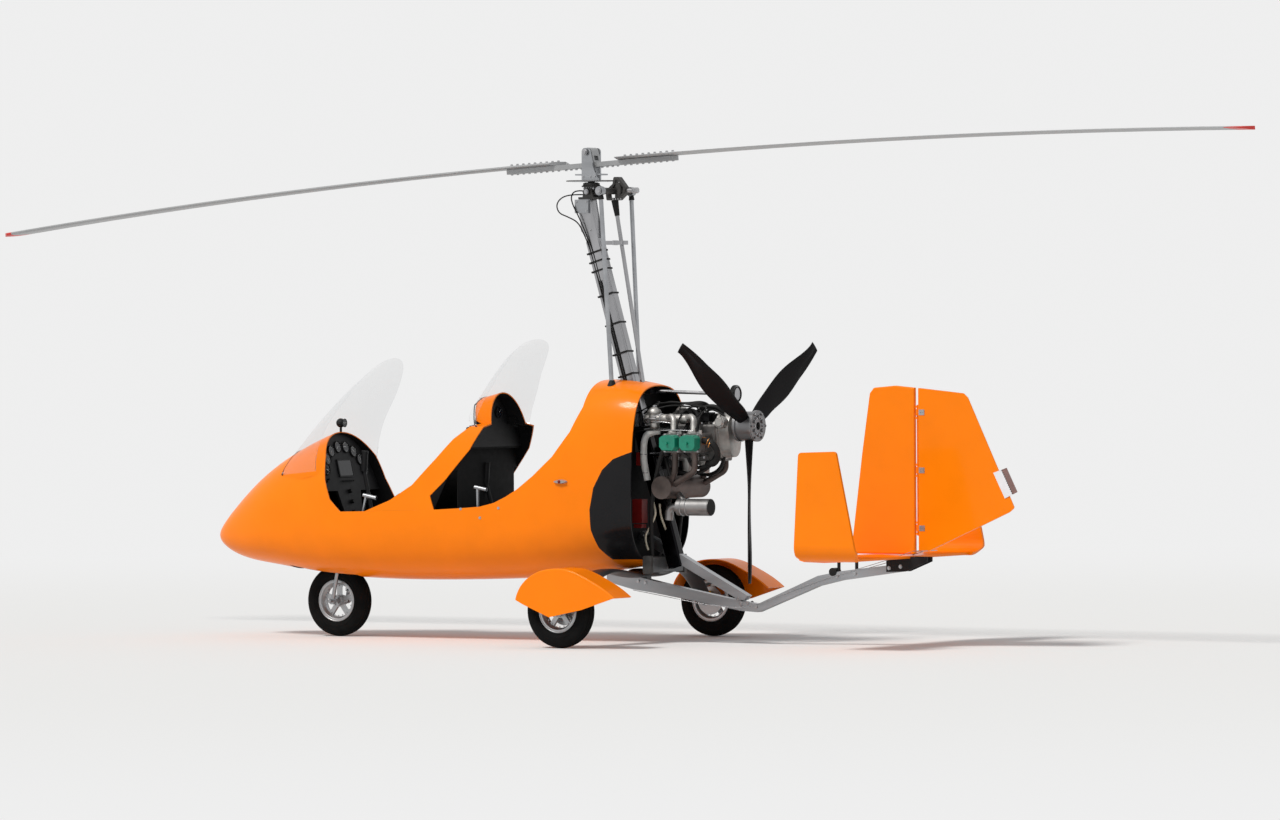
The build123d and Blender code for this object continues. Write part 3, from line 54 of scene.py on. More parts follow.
# Camera: where it stands and how it is turned
VIEW_AZIMUTH = radians(30.3274)
CAMERA_DISTANCE = 40.4198
CAMERA_HEIGHT = 1.7413
CAMERA_SIDE = 0.26
CAMERA_PITCH = radians(0.6713)
CAMERA_ROLL = radians(-0.288)
SENSOR = 36.0
LENS = 207.2

# Places on the aircraft that several pieces share
ROTOR_YAW = radians(-5.05)
TEETER_REST = radians(3.15)
TEETER_Z = 2.682
BAR_UNDER = 0.07
CRANK_Z = 1.094
SHAFT_Z = 1.184
HEAD_FACE = 0.277
CYLINDERS = ((-1, 0.63), (-1, 0.754), (1, 0.606), (1, 0.73))  # side, x
CARB_X, CARB_Y = 0.48, 0.15
MUFFLER_Y, MUFFLER_Z = -0.15, 0.745
MAIN_X, TRACK_HALF = 0.287, 0.827
MAST_FOOT, MAST_TOP = Vector((0.492, 0, 0.56)), Vector((0.02, 0, 2.2))
WHEELS = (
    # name of the wheel and its body, x, y, side that shows
    ("left_wheel", MAIN_X, -TRACK_HALF, -1),
    ("right_wheel", MAIN_X, TRACK_HALF, 1),
    ("nose_wheel", -1.653, 0.0, -1),
)
WHEEL_R = 0.2
RIM_R = 0.112

# Seats: lip, hip and shoulder in side view, half width
SEATS = (
    ("front", (-1.404, 0.496), (-1.048, 0.429), (-0.723, 1.074), 0.215),
    ("rear", (-0.574, 0.566), (-0.166, 0.494), (0.092, 1.111), 0.205),
)


# Finishes
def feed(tree, target, inputs):
    """Gives inputs of a shader node a value each, or a link from another node's socket."""
    for name, value in inputs.items():
        if isinstance(value, bpy.types.NodeSocket):
            tree.links.new(value, target.inputs[name])
        else:
            target.inputs[name].default_value = value


def add_node(tree, kind, inputs=(), **settings):
    """Adds a shader node, with its settings made before its inputs are fed."""
    made = tree.nodes.new("ShaderNode" + kind)
    for name, value in settings.items():
        setattr(made, name, value)
    feed(tree, made, dict(inputs))
    return made


def blank(name):
    """New material, with its node tree and its shader."""
    material = bpy.data.materials.new(name)
    material.use_nodes = True
    return material, material.node_tree, material.node_tree.nodes["Principled BSDF"]


def own_space(tree):
    """Socket with the place in the object's own space."""
    return add_node(tree, "TexCoord").outputs["Object"]


def relief(tree, height, strength, distance):
    """Makes a height show in the shading."""
    made = add_node(tree, "Bump", {"Height": height, "Strength": strength, "Distance": distance})
    feed(tree, tree.nodes["Principled BSDF"], {"Normal": made.outputs["Normal"]})


def look(name, colour, roughness, metallic=0.0, wander=0.1, grain=24.0, stretch=(1, 1, 1),
         bump=0.0, bump_grain=300.0, **sockets):
    """Finish whose colour, roughness and surface wander with noise, in the object's own space."""
    material, tree, shader = blank(name)
    place = add_node(tree, "Mapping", {"Vector": own_space(tree), "Scale": stretch}).outputs["Vector"]
    noise = add_node(tree, "TexNoise", {"Vector": place, "Scale": grain, "Detail": 5.0}).outputs["Fac"]
    tone = add_node(tree, "ValToRGB", {"Fac": noise}, name="tone")
    for element, position, share in zip(tone.color_ramp.elements, (0.3, 0.7), (1 - wander, 1 + wander)):
        element.position = position
        element.color = (*(min(1, c * share) for c in colour), 1)
    spread = add_node(tree, "MapRange", {
        "Value": noise, "To Min": roughness * 0.8, "To Max": min(1.0, roughness * 1.2),
    })
    if bump:
        fine = add_node(tree, "TexNoise", {"Vector": place, "Scale": bump_grain})
        relief(tree, fine.outputs["Fac"], bump, 0.002)
    feed(tree, shader, {"Base Color": tone.outputs["Color"], "Roughness": spread.outputs["Result"]})
    feed(tree, shader, {"Metallic": metallic, **sockets})
    return material


def band(material, colour, start, end, axes=(1, 1, 0)):
    """Paints a second colour where the distance from the origin, along the given axes, is in a range."""
    tree = material.node_tree
    flat = add_node(tree, "VectorMath", {0: own_space(tree), 1: axes}, operation="MULTIPLY")
    reach = add_node(tree, "VectorMath", {0: flat.outputs["Vector"]}, operation="LENGTH")
    limits = {1: (start + end) / 2, 2: (end - start) / 2}
    inside = add_node(tree, "Math", {0: reach.outputs["Value"], **limits}, operation="COMPARE")
    tones = {"A": tree.nodes["tone"].outputs["Color"], "B": (*colour, 1)}
    mix = add_node(tree, "Mix", {"Factor": inside.outputs["Value"], **tones}, data_type="RGBA")
    feed(tree, tree.nodes["Principled BSDF"], {"Base Color": mix.outputs["Result"]})


def woven(material, pitch, strength):
    """Adds the relief of a weave to a finish."""
    tree = material.node_tree
    inputs = {"Vector": own_space(tree), "Scale": 1 / pitch / 6}
    warp, weft = (add_node(tree, "TexWave", inputs, bands_direction=way).outputs["Fac"] for way in "XZ")
    relief(tree, add_node(tree, "Math", {0: warp, 1: weft}).outputs["Value"], strength, 0.001)


COAT = {"Coat Weight": 0.18, "Coat Roughness": 0.1, "Specular IOR Level": 0.08}
DULL = {"Specular IOR Level": 0.2}
ORANGE = look("orange_paint", (0.96, 0.218, 0.0008), 0.32, wander=0.03, grain=6, **COAT)
BLACK_GLOSS = look("black_paint", (0.008, 0.008, 0.009), 0.28, grain=8, **COAT)
ACRYLIC = look("acrylic", (0.5, 0.55, 0.58), 0.06, wander=0.03, grain=5, Alpha=0.075, IOR=1.49)
ACRYLIC_EDGE = look("acrylic_edge", (0.34, 0.38, 0.4), 0.15, grain=12)
BLACK_PLASTIC = look("black_plastic", (0.012, 0.012, 0.013), 0.52, bump=0.15, bump_grain=600, **DULL)
LINING = look("black_lining", (0.006, 0.006, 0.0065), 0.75, wander=0.2, grain=40, bump=0.2, **DULL)
SEAT_SHELL = look("seat_shell", (0.01, 0.01, 0.011), 0.45, bump=0.1, **DULL)
FABRIC = look("seat_fabric", (0.016, 0.016, 0.018), 0.92, wander=0.25, grain=60, **{"Sheen Weight": 0.2})
woven(FABRIC, 0.004, 0.5)
PIPING = look("seat_piping", (0.04, 0.04, 0.045), 0.75, grain=80)
WEBBING = look("webbing", (0.01, 0.01, 0.012), 0.85, wander=0.2, grain=150, bump=0.3, bump_grain=900)
STAINLESS = look("stainless", (0.36, 0.36, 0.37), 0.28, 1.0, wander=0.14, grain=18, stretch=(1, 1, 0.15))
ALLOY = look("alloy", (0.36, 0.37, 0.385), 0.38, 1.0, wander=0.12, grain=14, stretch=(0.2, 1, 1))
CAST = look("cast_alloy", (0.17, 0.165, 0.16), 0.58, 0.8, wander=0.3, grain=22, bump=0.35, bump_grain=420)
BRIGHT_CAST = look("bright_cast", (0.38, 0.37, 0.355), 0.45, 0.85, wander=0.2, grain=30, bump=0.25,
                   bump_grain=380)
BLADE = look("blade_alloy", (0.34, 0.345, 0.35), 0.42, 0.5, wander=0.08, grain=5)
band(BLADE, (0.6, 0.02, 0.01), 4.11, 4.3)
GREEN = look("green_cover", (0.004, 0.2, 0.125), 0.42, wander=0.12, grain=20, bump=0.1)
EXHAUST = look("exhaust_steel", (0.105, 0.085, 0.078), 0.52, 0.85, wander=0.5, grain=7, bump=0.1)
SILENCER = look("silencer_steel", (0.27, 0.265, 0.265), 0.46, 0.9, wander=0.2, grain=16, bump=0.1)
CARBON = look("propeller_black", (0.004, 0.0035, 0.004), 0.48, wander=0.15, grain=30,
              **{"Specular IOR Level": 0.08})
HUB_GREY = look("turned_hub", (0.2, 0.2, 0.205), 0.38, 0.9, grain=12)
LEG = look("dark_composite", (0.016, 0.016, 0.018), 0.38, wander=0.12, grain=14)
TYRE = look("tyre_rubber", (0.007, 0.007, 0.007), 0.8, wander=0.3, grain=28, bump=0.4, bump_grain=500,
            **{"Specular IOR Level": 0.06})
RUBBER = look("black_rubber", (0.009, 0.009, 0.009), 0.55, wander=0.25, grain=60, bump=0.15, **DULL)
LENS_WHITE = look("clear_lens", (0.3, 0.3, 0.31), 0.12, wander=0.04, grain=40)
FLOOR_MAT = look("floor_board", (0.014, 0.014, 0.015), 0.8, wander=0.2, grain=40, bump=0.3)
RIM_SILVER = look("rim_alloy", (0.42, 0.43, 0.44), 0.34, 0.85, grain=16)
DARK_METAL = look("dark_metal", (0.06, 0.058, 0.056), 0.5, 0.7, wander=0.3, grain=26, bump=0.2)
SCREW = look("screw_steel", (0.42, 0.42, 0.43), 0.28, 1.0, grain=90)
RED = look("red_plastic", (0.16, 0.006, 0.005), 0.4, grain=30)
COPPER = look("copper_clip", (0.45, 0.2, 0.06), 0.35, 0.9, grain=40)
YELLOW = look("yellow_metal", (0.55, 0.33, 0.04), 0.4, 0.5, grain=30)
WHITE_HOSE = look("silver_hose", (0.66, 0.66, 0.64), 0.5, wander=0.12, grain=50, bump=0.3)
BRAID = look("braided_hose", (0.5, 0.46, 0.36), 0.55, 0.3, wander=0.25, grain=90, bump=0.3, bump_grain=900)
DIAL = look("dial_face", (0.008, 0.009, 0.014), 0.15, grain=30)
MARKS = look("dial_marks", (0.7, 0.7, 0.67), 0.5, wander=0.05, grain=60)
MAST_STEEL = look("mast_steel", (0.34, 0.34, 0.35), 0.26, 1.0, wander=0.14, grain=18, stretch=(1, 1, 0.15))
PAINTED_FOOT = 1.18
band(MAST_STEEL, (0.01, 0.01, 0.011), 0.0, PAINTED_FOOT, (0, 0, 1))
TAB = look("tab_white", (0.78, 0.79, 0.82), 0.4, wander=0.03, grain=20)
TAB_CLEAR = look("tab_smoked", (0.2, 0.09, 0.075), 0.3, grain=20, Alpha=0.75)

LOOK_OF = {
    "orange_gelcoat": ORANGE, "black_gelcoat": BLACK_GLOSS, "acrylic": ACRYLIC, "seat_fabric": FABRIC,
    "black_plastic": BLACK_PLASTIC, "stainless": STAINLESS, "alloy": ALLOY, "cast_alloy": CAST,
    "blade_alloy": BLADE, "green_cover": GREEN, "exhaust_steel": EXHAUST, "black_carbon": CARBON,
    "grey_hub": HUB_GREY, "dark_composite": LEG, "tyre_rubber": TYRE, "white_lens": LENS_WHITE,
    "floor_laminate": FLOOR_MAT,
}
OWN_LOOK = {
    "intake_pipes": BRIGHT_CAST, "carburettors": BRIGHT_CAST, "gearbox": BRIGHT_CAST,
    "front_seat": SEAT_SHELL, "rear_seat": SEAT_SHELL, "silencer": SILENCER, "radiator": DARK_METAL,
    "mast": MAST_STEEL, "rotor_gimbal": DARK_METAL, "mast_plates": STAINLESS,
    "trim_tab": TAB, "firewall": LINING, **{row[0] + "_rim": RIM_SILVER for row in WHEELS},
}
SMOOTH_ANGLE = radians(32)


def shade(obj, material):
    """Gives a mesh its finish and smooth shading that breaks at real corners."""
    obj.data.materials.clear()
    obj.data.materials.append(material)
    if not obj.data.has_custom_normals:
        obj.data.shade_smooth()
        obj.data.set_sharp_from_angle(angle=SMOOTH_ANGLE)


for row in frame["record"]["subparts"]:
    shade(frame["nodes"][row["node"]], OWN_LOOK.get(row["node"], LOOK_OF[row["material_slot"]]))


# Ways of making pieces; bm is the bmesh that a piece is made in
def add(name, data):
    """Puts a new object in the scene."""
    obj = bpy.data.objects.new(name, data)
    bpy.context.scene.collection.objects.link(obj)
    return obj


def mesh_of(name, bm):
    """Mesh made from a bmesh, which is freed."""
    mesh = bpy.data.meshes.new(name)
    bm.to_mesh(mesh)
    bm.free()
    return mesh


def evaluated_mesh(obj):
    """Mesh of a curve, or of an object with its modifiers."""
    bpy.context.view_layer.update()
    return bpy.data.meshes.new_from_object(obj.evaluated_get(bpy.context.evaluated_depsgraph_get()))


def surface_of(obj):
    """Search tree over an object's faces."""
    return BVHTree.FromObject(obj, bpy.context.evaluated_depsgraph_get())


def mount(obj, material, body=AIRFRAME):
    """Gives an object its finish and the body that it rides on."""
    shade(obj, material)
    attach(obj, body)
    return obj


def piece(name, bm, material, body=AIRFRAME):
    """Turns a bmesh into a named piece that rides on a body."""
    bmesh.ops.recalc_face_normals(bm, faces=bm.faces)
    return mount(add(name, mesh_of(name, bm)), material, body)


def around(count, offset=0.0):
    """Cosine and sine of evenly spaced angles, the first of them a share of one step from zero."""
    angles = [2 * pi * (k + offset) / count for k in range(count)]
    return [(cos(a), sin(a)) for a in angles]


def join_loops(bm, loops):
    """Adds the faces between each closed loop of vertices and the next."""
    for here, there in zip(loops, loops[1:]):
        for j in range(len(here)):
            k = (j + 1) % len(here)
            bm.faces.new((here[j], there[j], there[k], here[k]))


def along(start, end):
    """Matrix whose z axis runs from one point to another, placed half way."""
    start, end = Vector(start), Vector(end)
    return Matrix.Translation((start + end) / 2) @ (end - start).to_track_quat("Z", "Y").to_matrix().to_4x4()


def heading(matrix, axis):
    """Unit vector of a frame's own direction."""
    return (matrix.to_3x3() @ Vector(axis)).normalized()


def rod(bm, start, end, radius, end_radius=None, sides=20):
    """Adds a round bar or cone."""
    length = (Vector(end) - Vector(start)).length
    bmesh.ops.create_cone(
        bm, cap_ends=True, segments=sides, radius1=radius,
        radius2=radius if end_radius is None else end_radius, depth=length, matrix=along(start, end),
    )


def slab(bm, centre, size, turn=None):
    """Adds a box."""
    matrix = Matrix.Translation(centre) @ (turn or Matrix.Identity(4)) @ Matrix.Diagonal((*size, 1))
    bmesh.ops.create_cube(bm, size=1, matrix=matrix)


def bolt(bm, place, direction, radius=0.005, height=0.005):
    """Adds a hexagon head with a washer."""
    place, direction = Vector(place), Vector(direction).normalized()
    rod(bm, place, place + direction * height * 0.25, radius * 1.35, sides=20)
    rod(bm, place + direction * height * 0.25, place + direction * height, radius, sides=6)


def side_bolts(bm, x, reach, z, *size):
    """Adds a bolt on either side, its head outward."""
    for side in SIDES:
        bolt(bm, (x, side * reach, z), (0, side, 0), *size)


def ring(bm, centre, normal, radius, thickness, sides=40, ring_sides=10):
    """Adds a torus."""
    turn = Vector(normal).to_track_quat("Z", "Y").to_matrix()
    loops = []
    for cos_a, sin_a in around(sides):
        out = Vector((cos_a, sin_a, 0))
        points = [
            out * (radius + thickness * c) + Vector((0, 0, thickness * s)) for c, s in around(ring_sides)
        ]
        loops.append([bm.verts.new(Vector(centre) + turn @ point) for point in points])
    join_loops(bm, [*loops, loops[0]])


def hose(name, routes, radius, material, bevel_sides=5):
    """Smooth tubes through lists of points, as one piece."""
    data = bpy.data.curves.new(name, "CURVE")
    data.dimensions = "3D"
    data.bevel_depth = radius
    data.bevel_resolution = bevel_sides
    data.resolution_u = 8
    data.use_fill_caps = True
    for route in routes:
        spline = data.splines.new("NURBS")
        spline.points.add(len(route) - 1)
        for point, place in zip(spline.points, route):
            point.co = (*place, 1)
        spline.order_u = 3
        spline.use_endpoint_u = True
    carrier = add(name + "_route", data)
    mesh = evaluated_mesh(carrier)
    bpy.data.objects.remove(carrier)
    mesh.name = name
    mount(add(name, mesh), material)


def raised(height, *route):
    """Route whose heights are measured from a given one."""
    return [(x, y, height + z) for x, y, z in route]


def mast_point(z, ahead=0.0, side=0.0):
    """Point at a height beside the mast's centre line."""
    share = (z - MAST_FOOT.z) / (MAST_TOP.z - MAST_FOOT.z)
    return Vector((MAST_FOOT.x + (MAST_TOP.x - MAST_FOOT.x) * share - ahead, side, z))


# Tyres, turned with ribs, grooves and a moulded sidewall
TYRE_PROFILE = (
    # radius, distance from the middle plane
    (0.1125, 0.031), (0.118, 0.036), (0.124, 0.0385), (0.132, 0.0445), (0.14, 0.048), (0.1405, 0.0494),
    (0.1455, 0.0496), (0.146, 0.0484), (0.158, 0.048), (0.168, 0.0455), (0.177, 0.042), (0.184, 0.037),
    (0.1895, 0.0325), (0.1925, 0.029), (0.189, 0.028), (0.189, 0.0262), (0.1948, 0.0252), (0.1965, 0.0165),
    (0.1925, 0.0158), (0.1925, 0.0138), (0.1975, 0.013), (0.199, 0.004), (0.195, 0.0034),
)
TYRE_STEPS = 128


def tyre(name, x, y):
    bm = bmesh.new()
    profile = [*TYRE_PROFILE, *((r, -h) for r, h in reversed(TYRE_PROFILE))]
    loops = [
        [bm.verts.new((x + r * c, y + h, WHEEL_R + r * s)) for r, h in profile]
        for c, s in around(TYRE_STEPS)
    ]
    join_loops(bm, [*loops, loops[0]])
    obj = piece(name + "_turned_tyre", bm, TYRE, name)
    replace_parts(obj, name + "_tyre")


def wheel_fittings(name, x, y, side):
    bm = bmesh.new()
    for c, s in around(5, 0.5):
        bolt(bm, (x + 0.024 * c, y + side * 0.036, WHEEL_R + 0.024 * s), (0, side, 0), 0.005, 0.007)
    for c, s in around(20):
        bolt(bm, (x + 0.085 * c, y + side * 0.0122, WHEEL_R + 0.085 * s), (0, side, 0), 0.0032, 0.003)
    piece(name + "_bolts", bm, SCREW, name)
    bm = bmesh.new()
    for edge in SIDES:
        ring(bm, (x, y + edge * 0.0345, WHEEL_R), (0, 1, 0), RIM_R + 0.002, 0.0042, 72, 12)
        ring(bm, (x, y + edge * 0.031, WHEEL_R), (0, 1, 0), RIM_R - 0.01, 0.003, 72, 12)
    piece(name + "_rim_lips", bm, RIM_SILVER, name)
    bm = bmesh.new()
    x, z = x + 0.07, WHEEL_R + 0.06
    rod(bm, (x, y + side * 0.02, z + 0.002), (x, y + side * 0.046, z), 0.0035)
    piece(name + "_valve", bm, RUBBER, name)


for name, x, y, side in WHEELS:
    tyre(name, x, y)
    wheel_fittings(name, x, y, side)

# Brake calipers with their hoses, and the bolts of the mudguards
caliper_turn = Matrix.Rotation(radians(40), 4, "Y")
bm = bmesh.new()
for side in SIDES:
    y = side * (TRACK_HALF - 0.039)
    slab(bm, (MAIN_X - 0.055, y, WHEEL_R + 0.045), (0.06, 0.03, 0.045), caliper_turn)
    slab(bm, (MAIN_X - 0.03, y - side * 0.012, WHEEL_R + 0.03), (0.08, 0.006, 0.05))
piece("brake_calipers", bm, YELLOW)
hose("brake_hoses", [
    [(0.24, side * 0.78, 0.262), (0.23, side * 0.74, 0.3), (0.24, side * 0.66, 0.33),
     (0.235, side * 0.55, 0.378), (0.225, side * 0.4, 0.398), (0.225, side * 0.27, 0.402)] for side in SIDES
], 0.0035, RUBBER)
GUARD_FACE = 0.9322
guard_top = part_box("mudguards")[1].z
bm = bmesh.new()
side_bolts(bm, MAIN_X, GUARD_FACE, 0.202, 0.006, 0.0035)
for side in SIDES:
    for x in (0.18, 0.4):
        bolt(bm, (x, side * 0.84, guard_top - 0.004 - 0.9 * (x - 0.3) ** 2), (0, 0, 1), 0.005, 0.003)
piece("mudguard_bolts", bm, SCREW)

# Rotor: rows of bolts through the hub bar and blade roots
TOWER_FRAME = Matrix.Rotation(ROTOR_YAW, 4, "Z")
ROTOR_FRAME = Matrix.Translation((0, 0, TEETER_Z)) @ TOWER_FRAME @ Matrix.Rotation(-TEETER_REST, 4, "Y")
bm = bmesh.new()
for end in SIDES:
    for k in range(9):
        x = end * (0.225 + 0.04 * k)
        rise = 0.004 * abs(x)
        for direction, gap in ((-1, 0.0133), (1, 0.0335)):
            height = -BAR_UNDER + rise + direction * gap
            bolt(bm, (x, 0, height), (0, 0, direction), 0.0065, 0.0075)
    for k in range(4):
        bolt(bm, (end * (0.07 + 0.035 * k), 0, -BAR_UNDER - 0.0131), (0, 0, -1), 0.0065, 0.0075)
bmesh.ops.transform(bm, matrix=ROTOR_FRAME, verts=bm.verts)
piece("rotor_bolts", bm, SCREW, "rotor")

bm = bmesh.new()
side_bolts(bm, 0, 0.062, TEETER_Z, 0.013, 0.01)
for side in SIDES:
    for dx in (-0.018, 0.03, 0.06):
        bolt(bm, (-side * dx, side * 0.0522, 2.548), (0, side, 0))
bmesh.ops.transform(bm, matrix=TOWER_FRAME, verts=bm.verts)
piece("tower_bolts", bm, SCREW, "rotor_head_tower")
bm = bmesh.new()
for k in range(96):
    a = 2 * pi * k / 96
    place = (0.1362 * cos(a), 0.1362 * sin(a), 2.525)
    slab(bm, place, (0.0046, 0.0048, 0.0058), Matrix.Rotation(a, 4, "Z"))
piece("spin_up_ring_teeth", bm, CAST, "rotor_head_tower")

# Rotor head fittings that stay with the mast
PLATE_FACE, MAST_FACE = 0.0487, 0.0362
bm = bmesh.new()
for side in SIDES:
    slab(bm, (-0.036, side * 0.0425, 2.386), (0.086, 0.012, 0.074))
piece("head_plates", bm, ALLOY)
bm = bmesh.new()
for x, z in ((-0.068, 2.361), (-0.068, 2.411), (-0.004, 2.361), (-0.004, 2.411)):
    side_bolts(bm, x, PLATE_FACE, z)
for x, z in ((-0.028, 2.3), (0.012, 2.255)):
    side_bolts(bm, x, MAST_FACE, z)
side_bolts(bm, 0, 0.0567, 2.466, 0.011, 0.009)
side_bolts(bm, 0.155, 0.185, 2.467, 0.013, 0.008)
for k in range(4):
    bolt(bm, (0.15 + 0.016 * k, -0.0202, 2.424), (0, -1, 0), 0.0035, 0.004)
rod(bm, (0.232, 0, 2.47), (0.262, 0, 2.47), 0.011)
rod(bm, (0.262, 0, 2.47), (0.296, 0, 2.47), 0.016, sides=6)
for k in range(5):
    bolt(bm, (-0.03 + 0.015 * k, -0.0302, 2.484), (0, -1, 0), 0.004, 0.004)
piece("head_bolts", bm, SCREW)
down_mast = [2.14, 2.0, 1.8, 1.6, 1.42]
hose("head_cables", [
    [(-0.028, -0.036, 2.45), (-0.085, -0.052, 2.452), (-0.15, -0.062, 2.44), (-0.19, -0.062, 2.4),
     (-0.175, -0.06, 2.35), (-0.12, -0.056, 2.33), (-0.055, -0.052, 2.3), (-0.02, -0.045, 2.23),
     *(mast_point(z, 0.022, -0.0345) for z in down_mast)],
    [(-0.03, -0.03, 2.47), (-0.075, -0.05, 2.476), (-0.1, -0.056, 2.44), (-0.085, -0.056, 2.39),
     (-0.05, -0.054, 2.33), (-0.01, -0.048, 2.24), *(mast_point(z, 0.008, -0.0345) for z in down_mast)],
], 0.0036, RUBBER)


def mast_strap(bm, z, half=0.0365, wide=0.009):
    """Adds a strap round the mast and the cables on its port side."""
    depth = 0.0468
    lean = Matrix.Rotation(-atan2(MAST_FOOT.x - MAST_TOP.x, MAST_TOP.z - MAST_FOOT.z), 4, "Y")
    centre = mast_point(z, side=-0.005)
    for y in (-half, half):
        slab(bm, centre + Vector((0, y, 0)), (2 * depth, 0.002, wide), lean)
    for x in (-depth, depth):
        slab(bm, centre + lean @ Vector((x, 0, 0)), (0.002, 2 * half, wide), lean)


bm = bmesh.new()
for z in (2.135, 2.085, 2.035, 1.9, 1.74, 1.58, 1.46):
    mast_strap(bm, z)
piece("mast_straps", bm, RUBBER)
bm = bmesh.new()
slab(bm, (0.15, 0, 2.185), (0.01, 0.048, 0.026))
for x in (0.06, 0.205):
    side_bolts(bm, x, 0.0222, 2.185, 0.005, 0.004)
piece("guide_fittings", bm, SCREW)

# Boots and joints on the control rods and spin-up shaft
bm = bmesh.new()
for side in SIDES:
    rod(bm, (0.159, side * 0.164, 2.42), (0.156, side * 0.165, 2.446), 0.016, 0.013)
    rod(bm, (0.2105, side * 0.1495, 1.4), (0.2125, side * 0.149, 1.434), 0.026, 0.014)
rod(bm, (0.1485, 0, 2.417), (0.1635, 0, 2.332), 0.02, 0.0135)
rod(bm, (0.34, 0, 1.374), (0.372, 0, 1.373), 0.019, 0.013)
piece("shaft_boots", bm, RUBBER)

# Engine: ribs and bolts of the covers, heads, crankcase and gearbox
PLUG_Z = CRANK_Z + 0.052
bm = bmesh.new()
for side, x in CYLINDERS:
    for dx, dz in ((-0.04, -0.036), (0.04, -0.036), (-0.04, 0.036), (0.04, 0.036)):
        bolt(bm, (x + dx, side * 0.2252, CRANK_Z + dz * 1.22), (0, side, 0), 0.0045, 0.006)
    for dx in (-0.03, 0.03):
        bolt(bm, (x + dx, side * 0.205, PLUG_Z), (0, 0, 1), 0.005, 0.01)
for c, s in around(12, 0.5):
    bolt(bm, (0.8392, 0.084 * s, SHAFT_Z - 0.01 + 0.084 * c), (1, 0, 0), 0.0045, 0.007)
for x in (0.585, 0.655, 0.725, 0.795):
    for y in (-0.06, 0.06):
        bolt(bm, (x, y, CRANK_Z + 0.1), (0, 0, 1), 0.006, 0.01)
for k in range(3):
    side_bolts(bm, 0.6 + 0.08 * k, 0.0955, CRANK_Z - 0.08, 0.005, 0.006)
piece("engine_bolts", bm, SCREW)
bm = bmesh.new()
for side, x in CYLINDERS:
    slope = Matrix.Rotation(radians(-38 * side), 4, "Y")
    slab(bm, (x - 0.004, side * HEAD_FACE, CRANK_Z - 0.004), (0.072, 0.0022, 0.0035), slope)
    for dx in (-0.028, -0.014, 0.0, 0.014):
        slab(bm, (x + dx, side * (HEAD_FACE - 0.0002), CRANK_Z + 0.026), (0.008, 0.0016, 0.004))
piece("cover_ribs", bm, GREEN)

# Engine: plug caps, leads, hoses and lines
bm = bmesh.new()
for side, x in CYLINDERS:
    for dx in (-0.022, 0.022):
        rod(bm, (x + dx, side * 0.2, PLUG_Z), (x + dx * 0.8, side * 0.196, CRANK_Z + 0.082), 0.0095, 0.008)
piece("plug_caps", bm, RUBBER)
leads = []
for side, x in CYLINDERS:
    for dx, rise in ((-0.018, 0), (0.018, 0.02)):
        leads.append(raised(
            CRANK_Z, (x + dx, side * 0.196, 0.08), (x + dx + 0.006, side * 0.188, 0.125 + rise),
            (x + dx + 0.03, side * 0.12, 0.172 + rise), (0.7 + 0.5 * dx, side * 0.06, 0.178 + rise),
            (0.69, side * 0.03, 0.15),
        ))
hose("ignition_leads", leads, 0.004, RUBBER)
hose("coolant_hoses", [
    raised(CRANK_Z, (0.735, -0.15, 0.048), (0.745, -0.12, 0.12), (0.7, -0.07, 0.168),
           (0.62, -0.03, 0.18), (0.57, 0.0, 0.16)),
    raised(CRANK_Z, (0.66, -0.15, 0.05), (0.69, -0.11, 0.13), (0.65, -0.05, 0.18), (0.58, 0.01, 0.165)),
    raised(CRANK_Z, (0.64, 0.15, 0.048), (0.65, 0.11, 0.13), (0.62, 0.06, 0.175), (0.575, 0.02, 0.16)),
    raised(SHAFT_Z, (0.85, -0.04, 0.072), (0.83, -0.055, 0.105), (0.76, -0.06, 0.11),
           (0.69, -0.045, 0.08), (0.64, -0.02, 0.06)),
    [(0.455, -0.14, 0.475), (0.455, -0.15, 0.6), (0.47, -0.175, 0.76), (0.53, -0.205, 0.96),
     *raised(CRANK_Z, (0.566, -0.205, -0.03), (0.58, -0.2, -0.02))],
    [(0.455, 0.14, 0.475), (0.455, 0.15, 0.6), (0.47, 0.175, 0.76), (0.52, 0.205, 0.96),
     *raised(CRANK_Z, (0.545, 0.205, -0.03), (0.556, 0.2, -0.02))],
], 0.0115, RUBBER, bevel_sides=6)
hose("oil_breather", [
    raised(CRANK_Z, (0.8, -0.19, 0.012), (0.85, -0.215, 0.014), (0.898, -0.205, -0.02),
           (0.895, -0.18, -0.085), (0.85, -0.165, -0.12), (0.81, -0.15, -0.11)),
], 0.017, RUBBER, bevel_sides=8)
hose("fuel_lines", [
    *([(0.3, side * 0.09, 1.15), (0.36, side * 0.13, 1.175), (0.43, side * 0.16, 1.18),
       (0.475, side * 0.155, 1.19)] for side in SIDES),
    [(0.3, -0.1, 1.14), (0.38, -0.185, 1.16), (0.52, -0.2, 1.165), (0.6, -0.19, 1.172)],
    [(0.48, -0.14, 1.285), (0.48, -0.08, 1.32), (0.42, -0.03, 1.31), (0.3, -0.04, 1.25)],
    [(0.48, 0.14, 1.285), (0.48, 0.08, 1.32), (0.42, 0.03, 1.305), (0.3, 0.04, 1.25)],
    [(0.5, -0.15, 1.28), (0.56, -0.12, 1.3), (0.64, -0.08, 1.29), (0.76, -0.05, 1.285),
     (0.84, -0.03, 1.265)],
], 0.0042, RUBBER)
hose("heater_duct", [
    [(0.44, -0.16, 0.89), (0.422, -0.16, 0.96), (0.416, -0.162, 1.04), (0.42, -0.16, 1.11),
     (0.44, -0.15, 1.15), (0.5, -0.125, 1.158)],
], 0.0185, WHITE_HOSE, 8)

